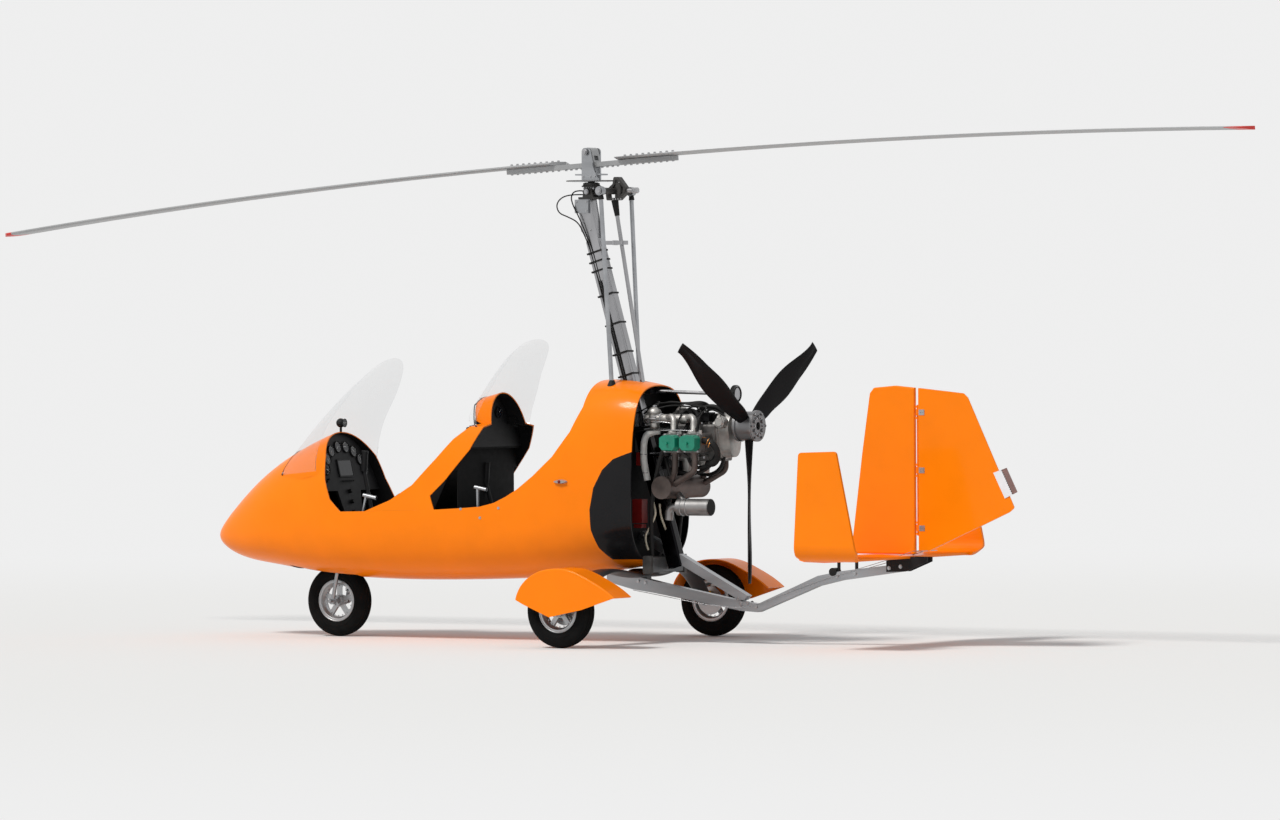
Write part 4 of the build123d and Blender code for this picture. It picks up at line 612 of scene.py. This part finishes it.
# Engine: clamps, boxes, tank and pulley
bm = bmesh.new()
for side in SIDES:
    y = side * CARB_Y
    rod(bm, (CARB_X, y, 1.289), (CARB_X, y, 1.298), 0.012, sides=24)
    for c, s in around(4, 0.5):
        bolt(bm, (CARB_X + 0.031 * c, y + 0.031 * s, 1.2645), (0, 0, 1), 0.003, 0.004)
    ring(bm, (0.526, y, 1.225), (1, 0, 0), 0.0255, 0.0035, 30, 8)
    ring(bm, (0.5, y, 1.225), (1, 0, 0), 0.025, 0.003, 30, 8)
    slab(bm, (0.458, side * 0.182, 1.205), (0.016, 0.01, 0.034))
    rod(bm, (0.452, side * 0.186, 1.224), (0.508, side * 0.186, 1.224), 0.004)
for x, z in ((0.4275, 0.93), (0.4165, 1.03)):
    ring(bm, (x, -0.1612, z), (0, 0, 1), 0.019, 0.0022, 30, 8)
for x in (0.658, 0.69):
    ring(bm, (x, MUFFLER_Y, MUFFLER_Z), (1, 0, 0), 0.046, 0.0028, 48, 8)
piece("clamps_and_levers", bm, SCREW)
bm = bmesh.new()
slab(bm, (0.69, 0, CRANK_Z + 0.139), (0.13, 0.07, 0.05))
rod(bm, *raised(CRANK_Z, (0.585, 0.05, 0.135), (0.7, 0.065, 0.135)), 0.026)
slab(bm, (0.77, 0.04, CRANK_Z + 0.13), (0.05, 0.08, 0.05))
piece("ignition_boxes", bm, BLACK_PLASTIC)
bm = bmesh.new()
rod(bm, *raised(CRANK_Z, (0.57, 0, 0.105), (0.57, 0, 0.175)), 0.034, 0.03)
rod(bm, *raised(CRANK_Z, (0.57, 0, 0.175), (0.57, 0, 0.186)), 0.02)
piece("expansion_tank", bm, CAST)
bm = bmesh.new()
for z, size in ((1.005, (0.026, 0.03, 0.07)), (0.722, (0.06, 0.06, 0.13)), (0.64, (0.05, 0.05, 0.02))):
    slab(bm, (0.385, -0.15, z), size)
piece("relay_boxes", bm, RED)
bm = bmesh.new()
for x, reach in ((0.896, 0.045), (0.903, 0.045), (0.91, 0.045), (0.915, 0.0385)):
    ring(bm, (x, 0, 1.357), (1, 0, 0), reach, 0.0042, 60, 10)
rod(bm, (0.827, MUFFLER_Y, MUFFLER_Z), (0.834, MUFFLER_Y, MUFFLER_Z), 0.0468, 0.043, 40)
piece("pulley_rim_and_end_cap", bm, RUBBER)

# Engine: lower lines, cables and small bosses
hose("oil_lines", [
    [(0.47, -0.15, 0.77), (0.484, -0.15, 0.73), (0.482, -0.15, 0.69), (0.44, -0.155, 0.62),
     (0.418, -0.16, 0.57), (0.446, -0.165, 0.51)],
    [(0.48, -0.1, 0.76), (0.484, -0.1, 0.7), (0.486, -0.06, 0.64), (0.462, 0.02, 0.59),
     (0.452, 0.05, 0.535), (0.452, 0.06, 0.505)],
], 0.0058, BRAID)
hose("engine_cables", [
    [(0.36 + 0.015 * k, -0.06 - 0.012 * k, 1.25), (0.45, -0.07 - 0.014 * k, 1.3 + 0.004 * k),
     (0.56, -0.085 + 0.02 * k, 1.318 - 0.005 * k), (0.66 + 0.02 * k, -0.075, 1.3 + 0.006 * k),
     (0.76, -0.06 + 0.015 * k, 1.28), (0.83, -0.05 + 0.02 * k, 1.262), (0.868, -0.055 + 0.022 * k, 1.235)]
    for k in range(5)
], 0.005, RUBBER)
hose("lower_hoses", [
    [(0.575, -0.15, 1.005), (0.59, -0.15, 0.96), (0.64, -0.14, 0.93), (0.72, -0.13, 0.925),
     (0.79, -0.12, 0.95), (0.83, -0.11, 1.0), (0.84, -0.09, 1.05)],
    [(0.7, -0.16, 1.01), (0.715, -0.165, 0.975), (0.76, -0.16, 0.955), (0.82, -0.15, 0.975),
     (0.85, -0.12, 1.02)],
    [(0.52, 0.12, 1.0), (0.56, 0.11, 0.94), (0.65, 0.08, 0.915), (0.74, 0.04, 0.92),
     (0.82, 0.0, 0.965), (0.84, -0.02, 1.02)],
    [(0.5, -0.06, 1.01), (0.52, -0.07, 0.93), (0.56, -0.08, 0.87), (0.54, -0.08, 0.8),
     (0.5, -0.07, 0.7)],
], 0.0105, RUBBER, bevel_sides=6)
hose("throttle_links", [
    [(0.455, -0.186, 1.2), (0.5, -0.196, 1.205), (0.56, -0.2, 1.21), (0.61, -0.19, 1.2)],
    [(0.4, -0.175, 1.195), (0.45, -0.188, 1.225), (0.5, -0.19, 1.235), (0.54, -0.18, 1.25)],
    [(0.47, -0.185, 1.17), (0.54, -0.215, 1.16), (0.64, -0.222, 1.165), (0.76, -0.215, 1.16)],
], 0.003, SCREW)
COVER_X, COVER_Z = 0.868, 1.205
bm = bmesh.new()
for start, end, radius, end_radius in ((-0.075, -0.12, 0.031, 0.029), (-0.12, -0.128, 0.024, 0.02)):
    rod(bm, (COVER_X, start, COVER_Z), (COVER_X, end, COVER_Z), radius, end_radius, 28)
for c, s in around(6):
    bolt(bm, (COVER_X + 0.025 * c, -0.1202, COVER_Z + 0.025 * s), (0, -1, 0), 0.003, 0.004)


def boss(x, y, low, high, radius, end_radius, sides):
    """Adds an upright boss, from one height over the crankshaft to another."""
    rod(bm, (x, y, CRANK_Z + low), (x, y, CRANK_Z + high), radius, end_radius, sides)


for side, x in CYLINDERS:
    boss(x - 0.01, side * 0.2, 0.05, 0.066, 0.026, 0.022, 24)
    boss(x + 0.046, side * 0.206, 0.02, 0.07, 0.009, 0.009, 16)
for x, y, radius in ((0.64, -0.06, 0.036), (0.735, -0.05, 0.03)):
    boss(x, y, -0.085, -0.165, radius, 0.9 * radius, 32)
piece("engine_bosses", bm, BRIGHT_CAST)
bm = bmesh.new()
for a in (0.25, 0.75):
    ring(bm, (0.845 + 0.02 * a, -0.213, CRANK_Z + 0.016 - 0.03 * a), (1, 0.4, -0.5), 0.0178, 0.0026, 24, 8)
ring(bm, (0.815, -0.192, CRANK_Z + 0.012), (1, -0.5, 0), 0.0178, 0.0026, 24, 8)
piece("hose_clips", bm, COPPER)
bm = bmesh.new()
for y in (-0.09, 0.09):
    rod(bm, (0.52, y, 1.02), (0.52, y, 1.13), 0.022)
slab(bm, (0.41, 0.12, 1.02), (0.07, 0.11, 0.13))
slab(bm, (0.4, 0.04, 0.9), (0.06, 0.08, 0.09))
piece("bay_boxes", bm, BLACK_PLASTIC)

# Radiator fins and the springs of the exhaust
bm = bmesh.new()
for k in range(46):
    slab(bm, (0.4745, -0.16 + 0.0071 * k, 0.4295), (0.0016, 0.0018, 0.08))
piece("radiator_fins", bm, ALLOY)
bm = bmesh.new()
for side, x in CYLINDERS:
    for dx in (-0.022, 0.022):
        start = Vector((x + dx, side * 0.19, CRANK_Z - 0.06))
        for k in range(8):
            ring(bm, start - Vector((0, 0, 0.0045 * k)), (0, 0, 1), 0.0035, 0.0011, 12, 6)
piece("exhaust_fittings", bm, SCREW)

# Propeller hub: bolts in its aft face, and a ring round either edge
bm = bmesh.new()
for c, s in around(6, 0.5):
    bolt(bm, (1.0422, 0.048 * s, SHAFT_Z + 0.048 * c), (1, 0, 0), 0.005, 0.009)
for x in (0.933, 1.034):
    ring(bm, (x, 0, SHAFT_Z), (1, 0, 0), 0.0842, 0.0012, 72, 6)
piece("propeller_bolts", bm, SCREW, "propeller")

# Frame: bolts where the beams join, tail bumper roller, rudder horn and cables
BEAM_FACE, BRACKET_FACE = 0.0252, 0.0312
bm = bmesh.new()
for x, z in ((0.945, 0.219), (0.925, 0.246), (0.985, 0.225), (1.04, 0.205), (0.33, 0.585), (0.38, 0.56),
             (0.3, 0.335), (0.345, 0.326), (1.54, 0.378), (1.65, 0.393)):
    side_bolts(bm, x, BEAM_FACE, z, 0.008, 0.007)
for x, z in ((1.86, 0.425), (1.93, 0.434)):
    side_bolts(bm, x, BRACKET_FACE, z, 0.008, 0.007)
piece("frame_bolts", bm, SCREW)
bm = bmesh.new()
rod(bm, (1.513, -0.03, 0.4), (1.513, 0.03, 0.4), 0.022)
piece("tail_bumper_roller", bm, RUBBER)
bm = bmesh.new()
for side in SIDES:
    slab(bm, (2.06, side * 0.05, 0.52), (0.06, 0.075, 0.004))
piece("rudder_horn", bm, SCREW, "rudder")
hose("rudder_cables", [
    [(2.02, side * 0.075, 0.516), (1.85, side * 0.06, 0.462), (1.42, side * 0.036, 0.352),
     (1.05, side * 0.034, 0.216), (0.95, side * 0.034, 0.196), (0.7, side * 0.032, 0.215),
     (0.5, side * 0.032, 0.25), (0.27, side * 0.032, 0.286)]
    for side in SIDES
], 0.0018, SCREW)

# Hinge plates of the rudder
bm = bmesh.new()
for z in (0.64, 0.95, 1.26):
    for side in SIDES:
        slab(bm, (2.052, side * 0.0142, z), (0.034, 0.0022, 0.03))
    for x in (2.044, 2.06):
        side_bolts(bm, x, 0.015, z, 0.003, 0.003)
piece("rudder_hinge_plates", bm, SCREW, "rudder")

# Cockpit: dial faces, needles and knobs
PANEL_TILT = Matrix.Rotation(-atan2(0.237, 1), 4, "Y")
PANEL_FRAME = Matrix.Translation((-1.606, 0, 0.9)) @ PANEL_TILT


def on_panel(y, up, out):
    """Point on the leaning instrument panel."""
    return PANEL_FRAME @ Vector((out, y, up))


panel_out = heading(PANEL_FRAME, (1, 0, 0))
faces, marks, bezels = bmesh.new(), bmesh.new(), bmesh.new()
for k in range(8):
    a = radians(8 + 23 * k)
    y, up = 0.2 * cos(a), 0.008 + 0.158 * sin(a)
    rod(faces, on_panel(y, up, 0.0052), on_panel(y, up, 0.0058), 0.0296, sides=40)
    ring(bezels, on_panel(y, up, 0.0082), panel_out, 0.0315, 0.0022, 40, 8)
    for j in range(12):
        b = 2 * pi * j / 12
        slab(marks, on_panel(y + 0.025 * cos(b), up + 0.025 * sin(b), 0.0062), (0.0005, 0.002, 0.005),
             PANEL_TILT @ Matrix.Rotation(b + pi / 2, 4, "X"))
    b = 0.9 + 0.7 * k
    slab(marks, on_panel(y + 0.008 * cos(b), up + 0.008 * sin(b), 0.0066), (0.0006, 0.024, 0.0026),
         PANEL_TILT @ Matrix.Rotation(b, 4, "X"))
slab(faces, on_panel(0, 0.042, 0.0056), (0.001, 0.132, 0.086), PANEL_TILT)
for k in range(5):
    y, up = -0.28 + 0.02 * k, -0.02 - 0.012 * (k % 2)
    rod(bezels, on_panel(y, up, 0.0), on_panel(y, up, 0.016), 0.006)
for k in range(6):
    y = -0.05 + 0.02 * k
    rod(bezels, on_panel(y, -0.03, 0.0), on_panel(y, -0.034, 0.014), 0.0035)
for up in (-0.09, -0.15, -0.21):
    rod(bezels, on_panel(0, up, 0), on_panel(0, up, 0.02), 0.012)
piece("dial_faces", faces, DIAL)
piece("dial_marks", marks, MARKS)
piece("panel_bezels_and_knobs", bezels, RUBBER)

# Cockpit: dials of the rear panel, and the compass
COMPASS_Z = 1.194
faces, marks, rings = bmesh.new(), bmesh.new(), bmesh.new()
for y in (-0.062, 0.062):
    rod(faces, (-0.638, y, 1.255), (-0.6372, y, 1.255), 0.029, sides=40)
    ring(rings, (-0.637, y, 1.255), (1, 0, 0), 0.031, 0.0022, 40, 8)
    slab(marks, (-0.6366, y + 0.006, 1.262), (0.0006, 0.02, 0.0016), Matrix.Rotation(0.8, 4, "X"))
rod(faces, (-1.6142, 0, COMPASS_Z), (-1.6134, 0, COMPASS_Z), 0.021, sides=40)
ring(rings, (-1.6138, 0, COMPASS_Z), (1, 0, 0), 0.0225, 0.002, 40, 8)
for k in range(5):
    slab(marks, (-1.613, -0.014 + 0.007 * k, COMPASS_Z), (0.0006, 0.0012, 0.01))
piece("rear_dial_faces", faces, DIAL)
piece("rear_dial_rings", rings, RUBBER)
piece("rear_dial_marks", marks, MARKS)


def skin_copy(name, node, keeps, lift, material):
    """Thin layer on those faces of a CAD part that a test keeps."""
    bm = bmesh.new()
    bm.from_mesh(frame["nodes"][node].data)
    bm.normal_update()
    dropped = [f for f in bm.faces if not keeps(f.calc_center_median(), f.normal)]
    bmesh.ops.delete(bm, geom=dropped, context="FACES")
    bmesh.ops.remove_doubles(bm, verts=bm.verts, dist=0.0002)
    bm.normal_update()
    for vertex in bm.verts:
        vertex.co += vertex.normal * lift
    mount(add(name, mesh_of(name, bm)), material)


def faces_inward(centre_z, from_x):
    """Test for the inner faces of a shell, aft of a given place."""
    def test(place, normal):
        inward = Vector((0, -place.y, centre_z - place.z))
        return place.x > from_x and inward.length > 0 and normal.dot(inward.normalized()) > 0.3
    return test


def on_rim(node):
    """Test for the narrow faces of a thin sheet: behind them the material is deep."""
    tree = surface_of(frame["nodes"][node])

    def test(place, normal):
        return tree.ray_cast(place - normal * 0.0003, -normal, 0.012)[0] is None
    return test


for name, node, height in (("hull_lining", "fuselage_shell", 0.76), ("fairing_lining", "mid_fairing", 0.95)):
    skin_copy(name, node, faces_inward(height, -2.05), 0.0012, LINING)
for node in ("front_windshield", "rear_windshield"):
    skin_copy(node + "_edge", node, on_rim(node), 0.0006, ACRYLIC_EDGE)

# Screens: screws and a dark stripe along the foot
FOOT_GAP = 0.012
EDGE_STEP = 0.012


def foot_of(node, carrier, bins, rise):
    """Points and outward normals a little above a screen's foot on the shell, from port to starboard."""
    mesh = frame["nodes"][node].data
    near, tree = surface_of(frame["nodes"][carrier]), surface_of(frame["nodes"][node])
    centre = Vector((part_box(node)[1].x - 0.05, 0, 0))
    lowest = {}
    places = []
    for edge in mesh.edges:
        start, end = (mesh.vertices[v].co for v in edge.vertices)
        steps = int((end - start).length / EDGE_STEP) + 1
        places += [start.lerp(end, k / steps) for k in range(steps + 1)]
    for place in places:
        if near.find_nearest(place, FOOT_GAP)[0] is None:
            continue
        angle = atan2(place.y, centre.x - place.x)
        key = int((angle + pi / 2) / pi * bins)
        if key not in lowest or place.z < lowest[key].z:
            lowest[key] = place
    found = []
    for key in sorted(lowest):
        place, normal, _, _ = tree.find_nearest(lowest[key] + Vector((0, 0, rise)))
        out = Vector((place.x - centre.x, place.y, 0)).normalized()
        if normal.dot(out) < 0:
            normal = -normal
        found.append((place, normal))
    return found


def screen_foot(node, carrier, bins):
    screws = bmesh.new()
    for place, normal in foot_of(node, carrier, bins, 0.014):
        rod(screws, place + normal * 0.0002, place + normal * 0.0024, 0.005, 0.004, 14)
    piece(node + "_screws", screws, SCREW)
    # Dark stripe along the foot: a thin black tube laid just above where the screen meets the shell
    route = [place + normal * 0.001 for place, normal in foot_of(node, carrier, 2 * bins, 0.001)]
    hose(node + "_foot_stripe", [route], 0.0032, RUBBER)


screen_foot("front_windshield", "fuselage_shell", 16)
screen_foot("rear_windshield", "mid_fairing", 12)

# Black bulkhead behind the front seat and up into the rear pod, as wide as the shells round it
BULKHEADS = (
    # x, from this height, to this one, half width where no shell is beside it
    (-0.69, 0.46, 1.08, 0.298),
    (-0.652, 1.06, 1.35, None),
)
BULKHEAD_STEP = 0.01
NECK_AFT = 0.062
NECK_STEP = 0.005
shells = [surface_of(frame["nodes"][node]) for node in ("fuselage_shell", "mid_fairing")]


def clear_reach(middle, side):
    """Free distance from the middle plane to the nearest shell, or nothing where none is near."""
    hits = [tree.ray_cast(middle, Vector((0, side, 0)), 0.4)[3] for tree in shells]
    return min([hit - 0.002 for hit in hits if hit], default=None)


bm = bmesh.new()
slab(bm, (-0.671, 0, 1.0765), (0.04, 0.59, 0.003))
for x, bottom, top, open_reach in BULKHEADS:
    for step in range(round((top - bottom) / BULKHEAD_STEP)):
        middle = Vector((x, 0, bottom + BULKHEAD_STEP * step))
        behind = middle + Vector((NECK_AFT, 0, 0))
        for side in SIDES:
            reach = clear_reach(middle, side) or clear_reach(behind, side) or open_reach
            if reach:
                slab(bm, middle + Vector((0, side * reach / 2, 0)), (0.003, reach, BULKHEAD_STEP))
for step in range(15):
    height = 1.155 + NECK_STEP * step
    for side in SIDES:
        reach = clear_reach(Vector((-0.59, 0, height)), side)
        if reach:
            slab(bm, (-0.62, side * (reach - 0.007), height), (0.062, 0.014, NECK_STEP + 0.001))
bmesh.ops.remove_doubles(bm, verts=bm.verts, dist=0.0001)
piece("bulkhead_lining", bm, LINING)

# Front sill lever: stem from its block on the sill, with its cross handle
bm = bmesh.new()
rod(bm, (-1.31, -0.3, 0.68), (-1.285, -0.3, 0.792), 0.0083, sides=32)
rod(bm, (-1.301, -0.3, 0.799), (-1.217, -0.3, 0.783), 0.011, sides=32)
slab(bm, (-1.304, -0.318, 0.68), (0.056, 0.044, 0.026))
piece("front_sill_lever", bm, ALLOY)

# Sill screws
hull = shells[0]
bm = bmesh.new()
for x, z in ((-0.504, 0.682), (-0.386, 0.736), (-0.629, 0.73)):
    for side in SIDES:
        hit, normal, _, _ = hull.ray_cast(Vector((x, side, z)), Vector((0, -side, 0)))
        if hit:
            rod(bm, hit, hit + normal * 0.0025, 0.0085, 0.007, 20)
piece("sill_screws", bm, SCREW)

# Cushions: blown up as cloth against their own seams, then sewn in channels
PAD_SHRINK = 0.005
PAD_START, PAD_END = 0.015, 0.088
PAD_T = 0.042
SHELL_HALF = 0.006
PAD_INSET = 0.03
PAD_CAP = 0.01
PAD_VOXEL = 0.006
PAD_PRESSURE = 4
PAD_FRAMES = 20
PIPING_R = 0.0035
SEAM_W, SEAM_DEPTH = 0.006, 0.006


def pad_frame(start, end):
    """Axes of a pad: x along it, y across, z away from the shell; with its length."""
    dx, dz = end[0] - start[0], end[1] - start[1]
    run = hypot(dx, dz)
    along_pad = Vector((dx, 0, dz)) / run
    out = Vector((-dz, 0, dx) if dx > 0 else (dz, 0, -dx)) / run
    matrix = Matrix((along_pad, out.cross(along_pad), out)).transposed().to_4x4()
    matrix.translation = Vector((start[0], 0, start[1])) + out * (SHELL_HALF + 0.0005)
    return matrix, run


def pad_shape(name, matrix, run, half):
    bm = bmesh.new()
    length = run - PAD_START - PAD_END - 2 * PAD_SHRINK
    width = 2 * (half - PAD_INSET - PAD_SHRINK)
    height = PAD_T - PAD_SHRINK
    slab(bm, ((PAD_START + run - PAD_END) / 2, 0, height / 2), (length, width, height))
    upright = [e for e in bm.edges if abs(e.verts[0].co.z - e.verts[1].co.z) > 0.5 * PAD_T]
    bmesh.ops.bevel(bm, geom=upright, offset=0.024, segments=6, affect="EDGES")
    top = [e for e in bm.edges if min(v.co.z for v in e.verts) > 0.5 * PAD_T]
    rim = [e for e in top if any(abs(f.normal.z) < 0.5 for f in e.link_faces)]
    bmesh.ops.bevel(bm, geom=rim, offset=0.01, segments=3, affect="EDGES")
    bmesh.ops.recalc_face_normals(bm, faces=bm.faces)
    obj = add(name, mesh_of(name, bm))
    obj.matrix_world = matrix
    remesh = obj.modifiers.new("remesh", "REMESH")
    remesh.mode = "VOXEL"
    remesh.voxel_size = PAD_VOXEL
    bake(obj)
    return obj


def bake(obj):
    """Applies an object's modifiers to its mesh."""
    made = evaluated_mesh(obj)
    obj.modifiers.clear()
    obj.data = made


def inflate(pads):
    """Blows all pads up together, with the undersides held, and caps how far a point moves."""
    starts = []
    for obj in pads:
        held = obj.vertex_groups.new(name="held")
        held.add([v.index for v in obj.data.vertices if v.co.z < 0.004], 1.0, "REPLACE")
        starts.append([v.co.copy() for v in obj.data.vertices])
        cloth = obj.modifiers.new("cloth", "CLOTH")
        cloth.settings.use_pressure = True
        cloth.settings.uniform_pressure_force = PAD_PRESSURE
        cloth.settings.effector_weights.gravity = 0
        cloth.settings.vertex_group_mass = "held"
        cloth.point_cache.frame_end = PAD_FRAMES
    for step in range(1, PAD_FRAMES + 1):
        bpy.context.scene.frame_set(step)
    graph = bpy.context.evaluated_depsgraph_get()
    for obj, start in zip(pads, starts):
        blown = [v.co.copy() for v in obj.evaluated_get(graph).data.vertices]
        obj.modifiers.clear()
        for vertex, before, after in zip(obj.data.vertices, start, blown):
            move = after - before
            if move.length > PAD_CAP:
                move *= PAD_CAP / move.length
            vertex.co = before + move
    bpy.context.scene.frame_set(1)


def dent(distance):
    """Share of a channel's depth at a distance from its line."""
    return 2.718 ** -((distance / SEAM_W) ** 2)


def sew(obj, run, half):
    """Smooths a pad, draws in its channels and flattens its underside."""
    obj.modifiers.new("smooth", "SUBSURF").levels = 1
    bake(obj)
    middle = (PAD_START + run - PAD_END) / 2
    length = run - PAD_START - PAD_END
    lines = [middle + length * share for share in (-0.25, 0.0, 0.25)]
    border = half - PAD_INSET - 0.045
    for vertex in obj.data.vertices:
        place = vertex.co
        if place.z > 0.4 * PAD_T:
            inner = abs(place.y) < border + SEAM_W
            depth = sum(dent(place.x - line) for line in lines) if inner else 0
            depth += dent(abs(place.y) - border)
            place.z -= SEAM_DEPTH * min(1.0, depth)
        place.z = max(place.z, 0.0)
    obj.data.update()


def piping(obj, name, matrix, run, half):
    """Welt round the upper edge of a pad."""
    tree = surface_of(obj)
    x0, x1 = PAD_START, run - PAD_END
    y1 = half - PAD_INSET
    corner = 0.03
    path = []
    for cx, cy, a0 in ((x1 - corner, y1 - corner, 0), (x0 + corner, y1 - corner, 90),
                       (x0 + corner, corner - y1, 180), (x1 - corner, corner - y1, 270)):
        for k in range(7):
            a = radians(a0 + 15 * k)
            path.append((cx + corner * cos(a), cy + corner * sin(a)))
    route = []
    for x, y in [*path, path[0]]:
        place, normal, _, _ = tree.find_nearest(Vector((x, y, PAD_T * 0.86)))
        route.append(matrix @ (place + normal * 0.001))
    hose(name, [route], PIPING_R, PIPING)


def strap(name, places, across, width=0.045, thick=0.0024):
    """Flat webbing through a list of points and normals."""
    bm = bmesh.new()
    rows = []
    for place, normal in places:
        rows.append([
            bm.verts.new(place + across * side * width / 2 + normal * (0.001 + thick * lift))
            for side, lift in ((-1, 0), (1, 0), (1, 1), (-1, 1))
        ])
    join_loops(bm, rows)
    bm.faces.new(rows[0])
    bm.faces.new(reversed(rows[-1]))
    piece(name, bm, WEBBING)


def laid(tree, matrix, places):
    """Points dropped on a pad, with the pad's own direction as their normal."""
    found = []
    for x, y in places:
        hit, _, _, _ = tree.ray_cast(Vector((x, y, 0.2)), Vector((0, 0, -1)))
        height = hit.z if hit else PAD_T * 0.4
        found.append((matrix @ Vector((x, y, height)), heading(matrix, (0, 0, 1))))
    return found


pads = []
for label, lip, hip, shoulder, half in SEATS:
    for part, start in (("base", lip), ("back", shoulder)):
        matrix, run = pad_frame(start, hip)
        obj = pad_shape(f"{label}_{part}_cushion", matrix, run, half)
        pads.append((obj, label, part, matrix, run, half))
inflate([row[0] for row in pads])
for obj, label, part, matrix, run, half in pads:
    sew(obj, run, half)
    mount(obj, FABRIC)
    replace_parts(obj, "seat_cushions")
    piping(obj, f"{label}_{part}_piping", matrix, run, half)
    tree = surface_of(obj)
    if part == "back":
        for side, hand in zip(SIDES, ("port", "starboard")):
            stations = [(-0.012 + (run - 0.1) * k / 22, side * (0.075 + 0.045 * k / 22)) for k in range(23)]
            strap(f"{label}_shoulder_strap_{hand}", laid(tree, matrix, stations), Vector((0, 1, 0)))
    else:
        lap = [
            (run - 0.17 + 0.02 * cos(k / 24 * pi), -half + 0.032 + (2 * half - 0.064) * k / 24)
            for k in range(25)
        ]
        strap(f"{label}_lap_strap", laid(tree, matrix, lap), heading(matrix, (1, 0, 0)))
        buckle = bmesh.new()
        spot = laid(tree, matrix, [(run - 0.19, 0)])[0]
        slab(buckle, spot[0] + spot[1] * 0.01, (0.06, 0.052, 0.012), matrix.to_3x3().to_4x4())
        piece(f"{label}_buckle", buckle, SCREW)

# Trim tab: a white strip fixed to the rudder and a smoked flap, joined by a toothed hinge
TAB_FIXED = ((2.479, 0.939), (2.527, 0.955), (2.593, 0.824), (2.548, 0.803))
TAB_FLAP = ((2.53, 0.956), (2.559, 0.966), (2.623, 0.838), (2.596, 0.825))
TAB_Y = (-0.0075, -0.0045)


def plate(name, outline, material):
    """Flat piece of the tab, which stands for the CAD one."""
    bm = bmesh.new()
    low, high = ([bm.verts.new((x, y, z)) for x, z in outline] for y in TAB_Y)
    bm.faces.new(low)
    bm.faces.new(reversed(high))
    join_loops(bm, (low, high))
    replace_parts(piece(name, bm, material, "rudder"), "trim_tab")


plate("tab_strip", TAB_FIXED, TAB)
plate("tab_flap", TAB_FLAP, TAB_CLEAR)
bm = bmesh.new()
upper, lower = Vector((2.5285, -0.006, 0.955)), Vector((2.5945, -0.006, 0.8245))
for k in range(12):
    start = upper.lerp(lower, (k + 0.12) / 12)
    rod(bm, start, upper.lerp(lower, (k + 0.8) / 12), 0.0026, sides=12)
piece("tab_hinge", bm, RUBBER, "rudder")

# Navigation light: glass over a coloured core
bm = bmesh.new()
for side in SIDES:
    if any(corner.y * side > 0 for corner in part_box("nav_light")):
        rod(bm, (0.006, side * 0.374, 0.883), (0.006, side * 0.379, 0.883), 0.009, 0.005, 24)
piece("nav_light_lamp", bm, RED)


# Studio: camera, light, pale ground and backdrop
def place_camera():
    turn = Matrix.Rotation(VIEW_AZIMUTH, 4, "Z")
    tilt = Matrix.Rotation(pi / 2 - CAMERA_PITCH, 4, "X") @ Matrix.Rotation(CAMERA_ROLL, 4, "Z")
    data = bpy.data.cameras.new("camera")
    data.sensor_width = SENSOR
    data.lens = LENS
    data.clip_end = 500
    obj = add("camera", data)
    obj.matrix_world = turn @ Matrix.Translation((CAMERA_SIDE, -CAMERA_DISTANCE, CAMERA_HEIGHT)) @ tilt
    bpy.context.scene.camera = obj


def seen_rays(tree):
    """Socket that is 1 for what the camera sees directly, mirrored or through glass."""
    path = add_node(tree, "LightPath").outputs
    total = path["Is Camera Ray"]
    for ray in ("Is Glossy Ray", "Is Transmission Ray"):
        total = add_node(tree, "Math", {0: total, 1: path[ray]}, operation="MAXIMUM").outputs["Value"]
    return total


BACKDROP = 0.86
FILL = 0.48
SUN_POWER = 2.3
SUN_ANGLE = radians(14)
TO_SUN = Vector((-0.25, -0.7, 0.95))
FLOOR_SIZE = 90.0
FLOOR_TONE = 0.8
FADE_FROM, FADE_TO = 5.0, 16.0


def light_scene():
    world = bpy.data.worlds.new("studio")
    bpy.context.scene.world = world
    world.use_nodes = True
    tree = world.node_tree
    fill = tree.nodes["Background"]
    feed(tree, fill, {"Color": (0.95, 0.98, 1.0, 1), "Strength": FILL})
    pale = add_node(tree, "Background", {"Color": (1, 1, 1, 1), "Strength": BACKDROP})
    mix = add_node(tree, "MixShader", {0: seen_rays(tree), 1: fill.outputs[0], 2: pale.outputs[0]})
    feed(tree, tree.nodes["World Output"], {"Surface": mix.outputs[0]})
    sun = bpy.data.lights.new("sun", "SUN")
    sun.energy = SUN_POWER
    sun.angle = SUN_ANGLE
    sun.color = (1.0, 0.97, 0.93)
    obj = add("sun", sun)
    obj.rotation_mode = "QUATERNION"
    obj.rotation_quaternion = TO_SUN.to_track_quat("Z", "Y")


def lay_floor():
    material, tree, shader = blank("ground")
    feed(tree, shader, {
        "Base Color": (FLOOR_TONE, FLOOR_TONE, FLOOR_TONE, 1), "Roughness": 0.9, "Specular IOR Level": 0.0,
    })
    glow = add_node(tree, "Emission", {"Strength": BACKDROP})
    reach = add_node(tree, "VectorMath", {0: own_space(tree)}, operation="LENGTH").outputs["Value"]
    span = {"From Min": FADE_FROM, "From Max": FADE_TO}
    fade = add_node(tree, "MapRange", {"Value": reach, **span}, interpolation_type="SMOOTHSTEP")
    share = add_node(tree, "Math", {0: fade.outputs["Result"], 1: seen_rays(tree)}, operation="MULTIPLY")
    mix = add_node(tree, "MixShader", {0: share.outputs["Value"], 1: shader.outputs[0], 2: glow.outputs[0]})
    feed(tree, tree.nodes["Material Output"], {"Surface": mix.outputs[0]})
    bm = bmesh.new()
    bmesh.ops.create_circle(bm, cap_ends=True, segments=96, radius=FLOOR_SIZE)
    mesh = mesh_of("ground", bm)
    mesh.materials.append(material)
    add("ground", mesh)


place_camera()
light_scene()
lay_floor()
bpy.context.scene.view_settings.view_transform = "Standard"
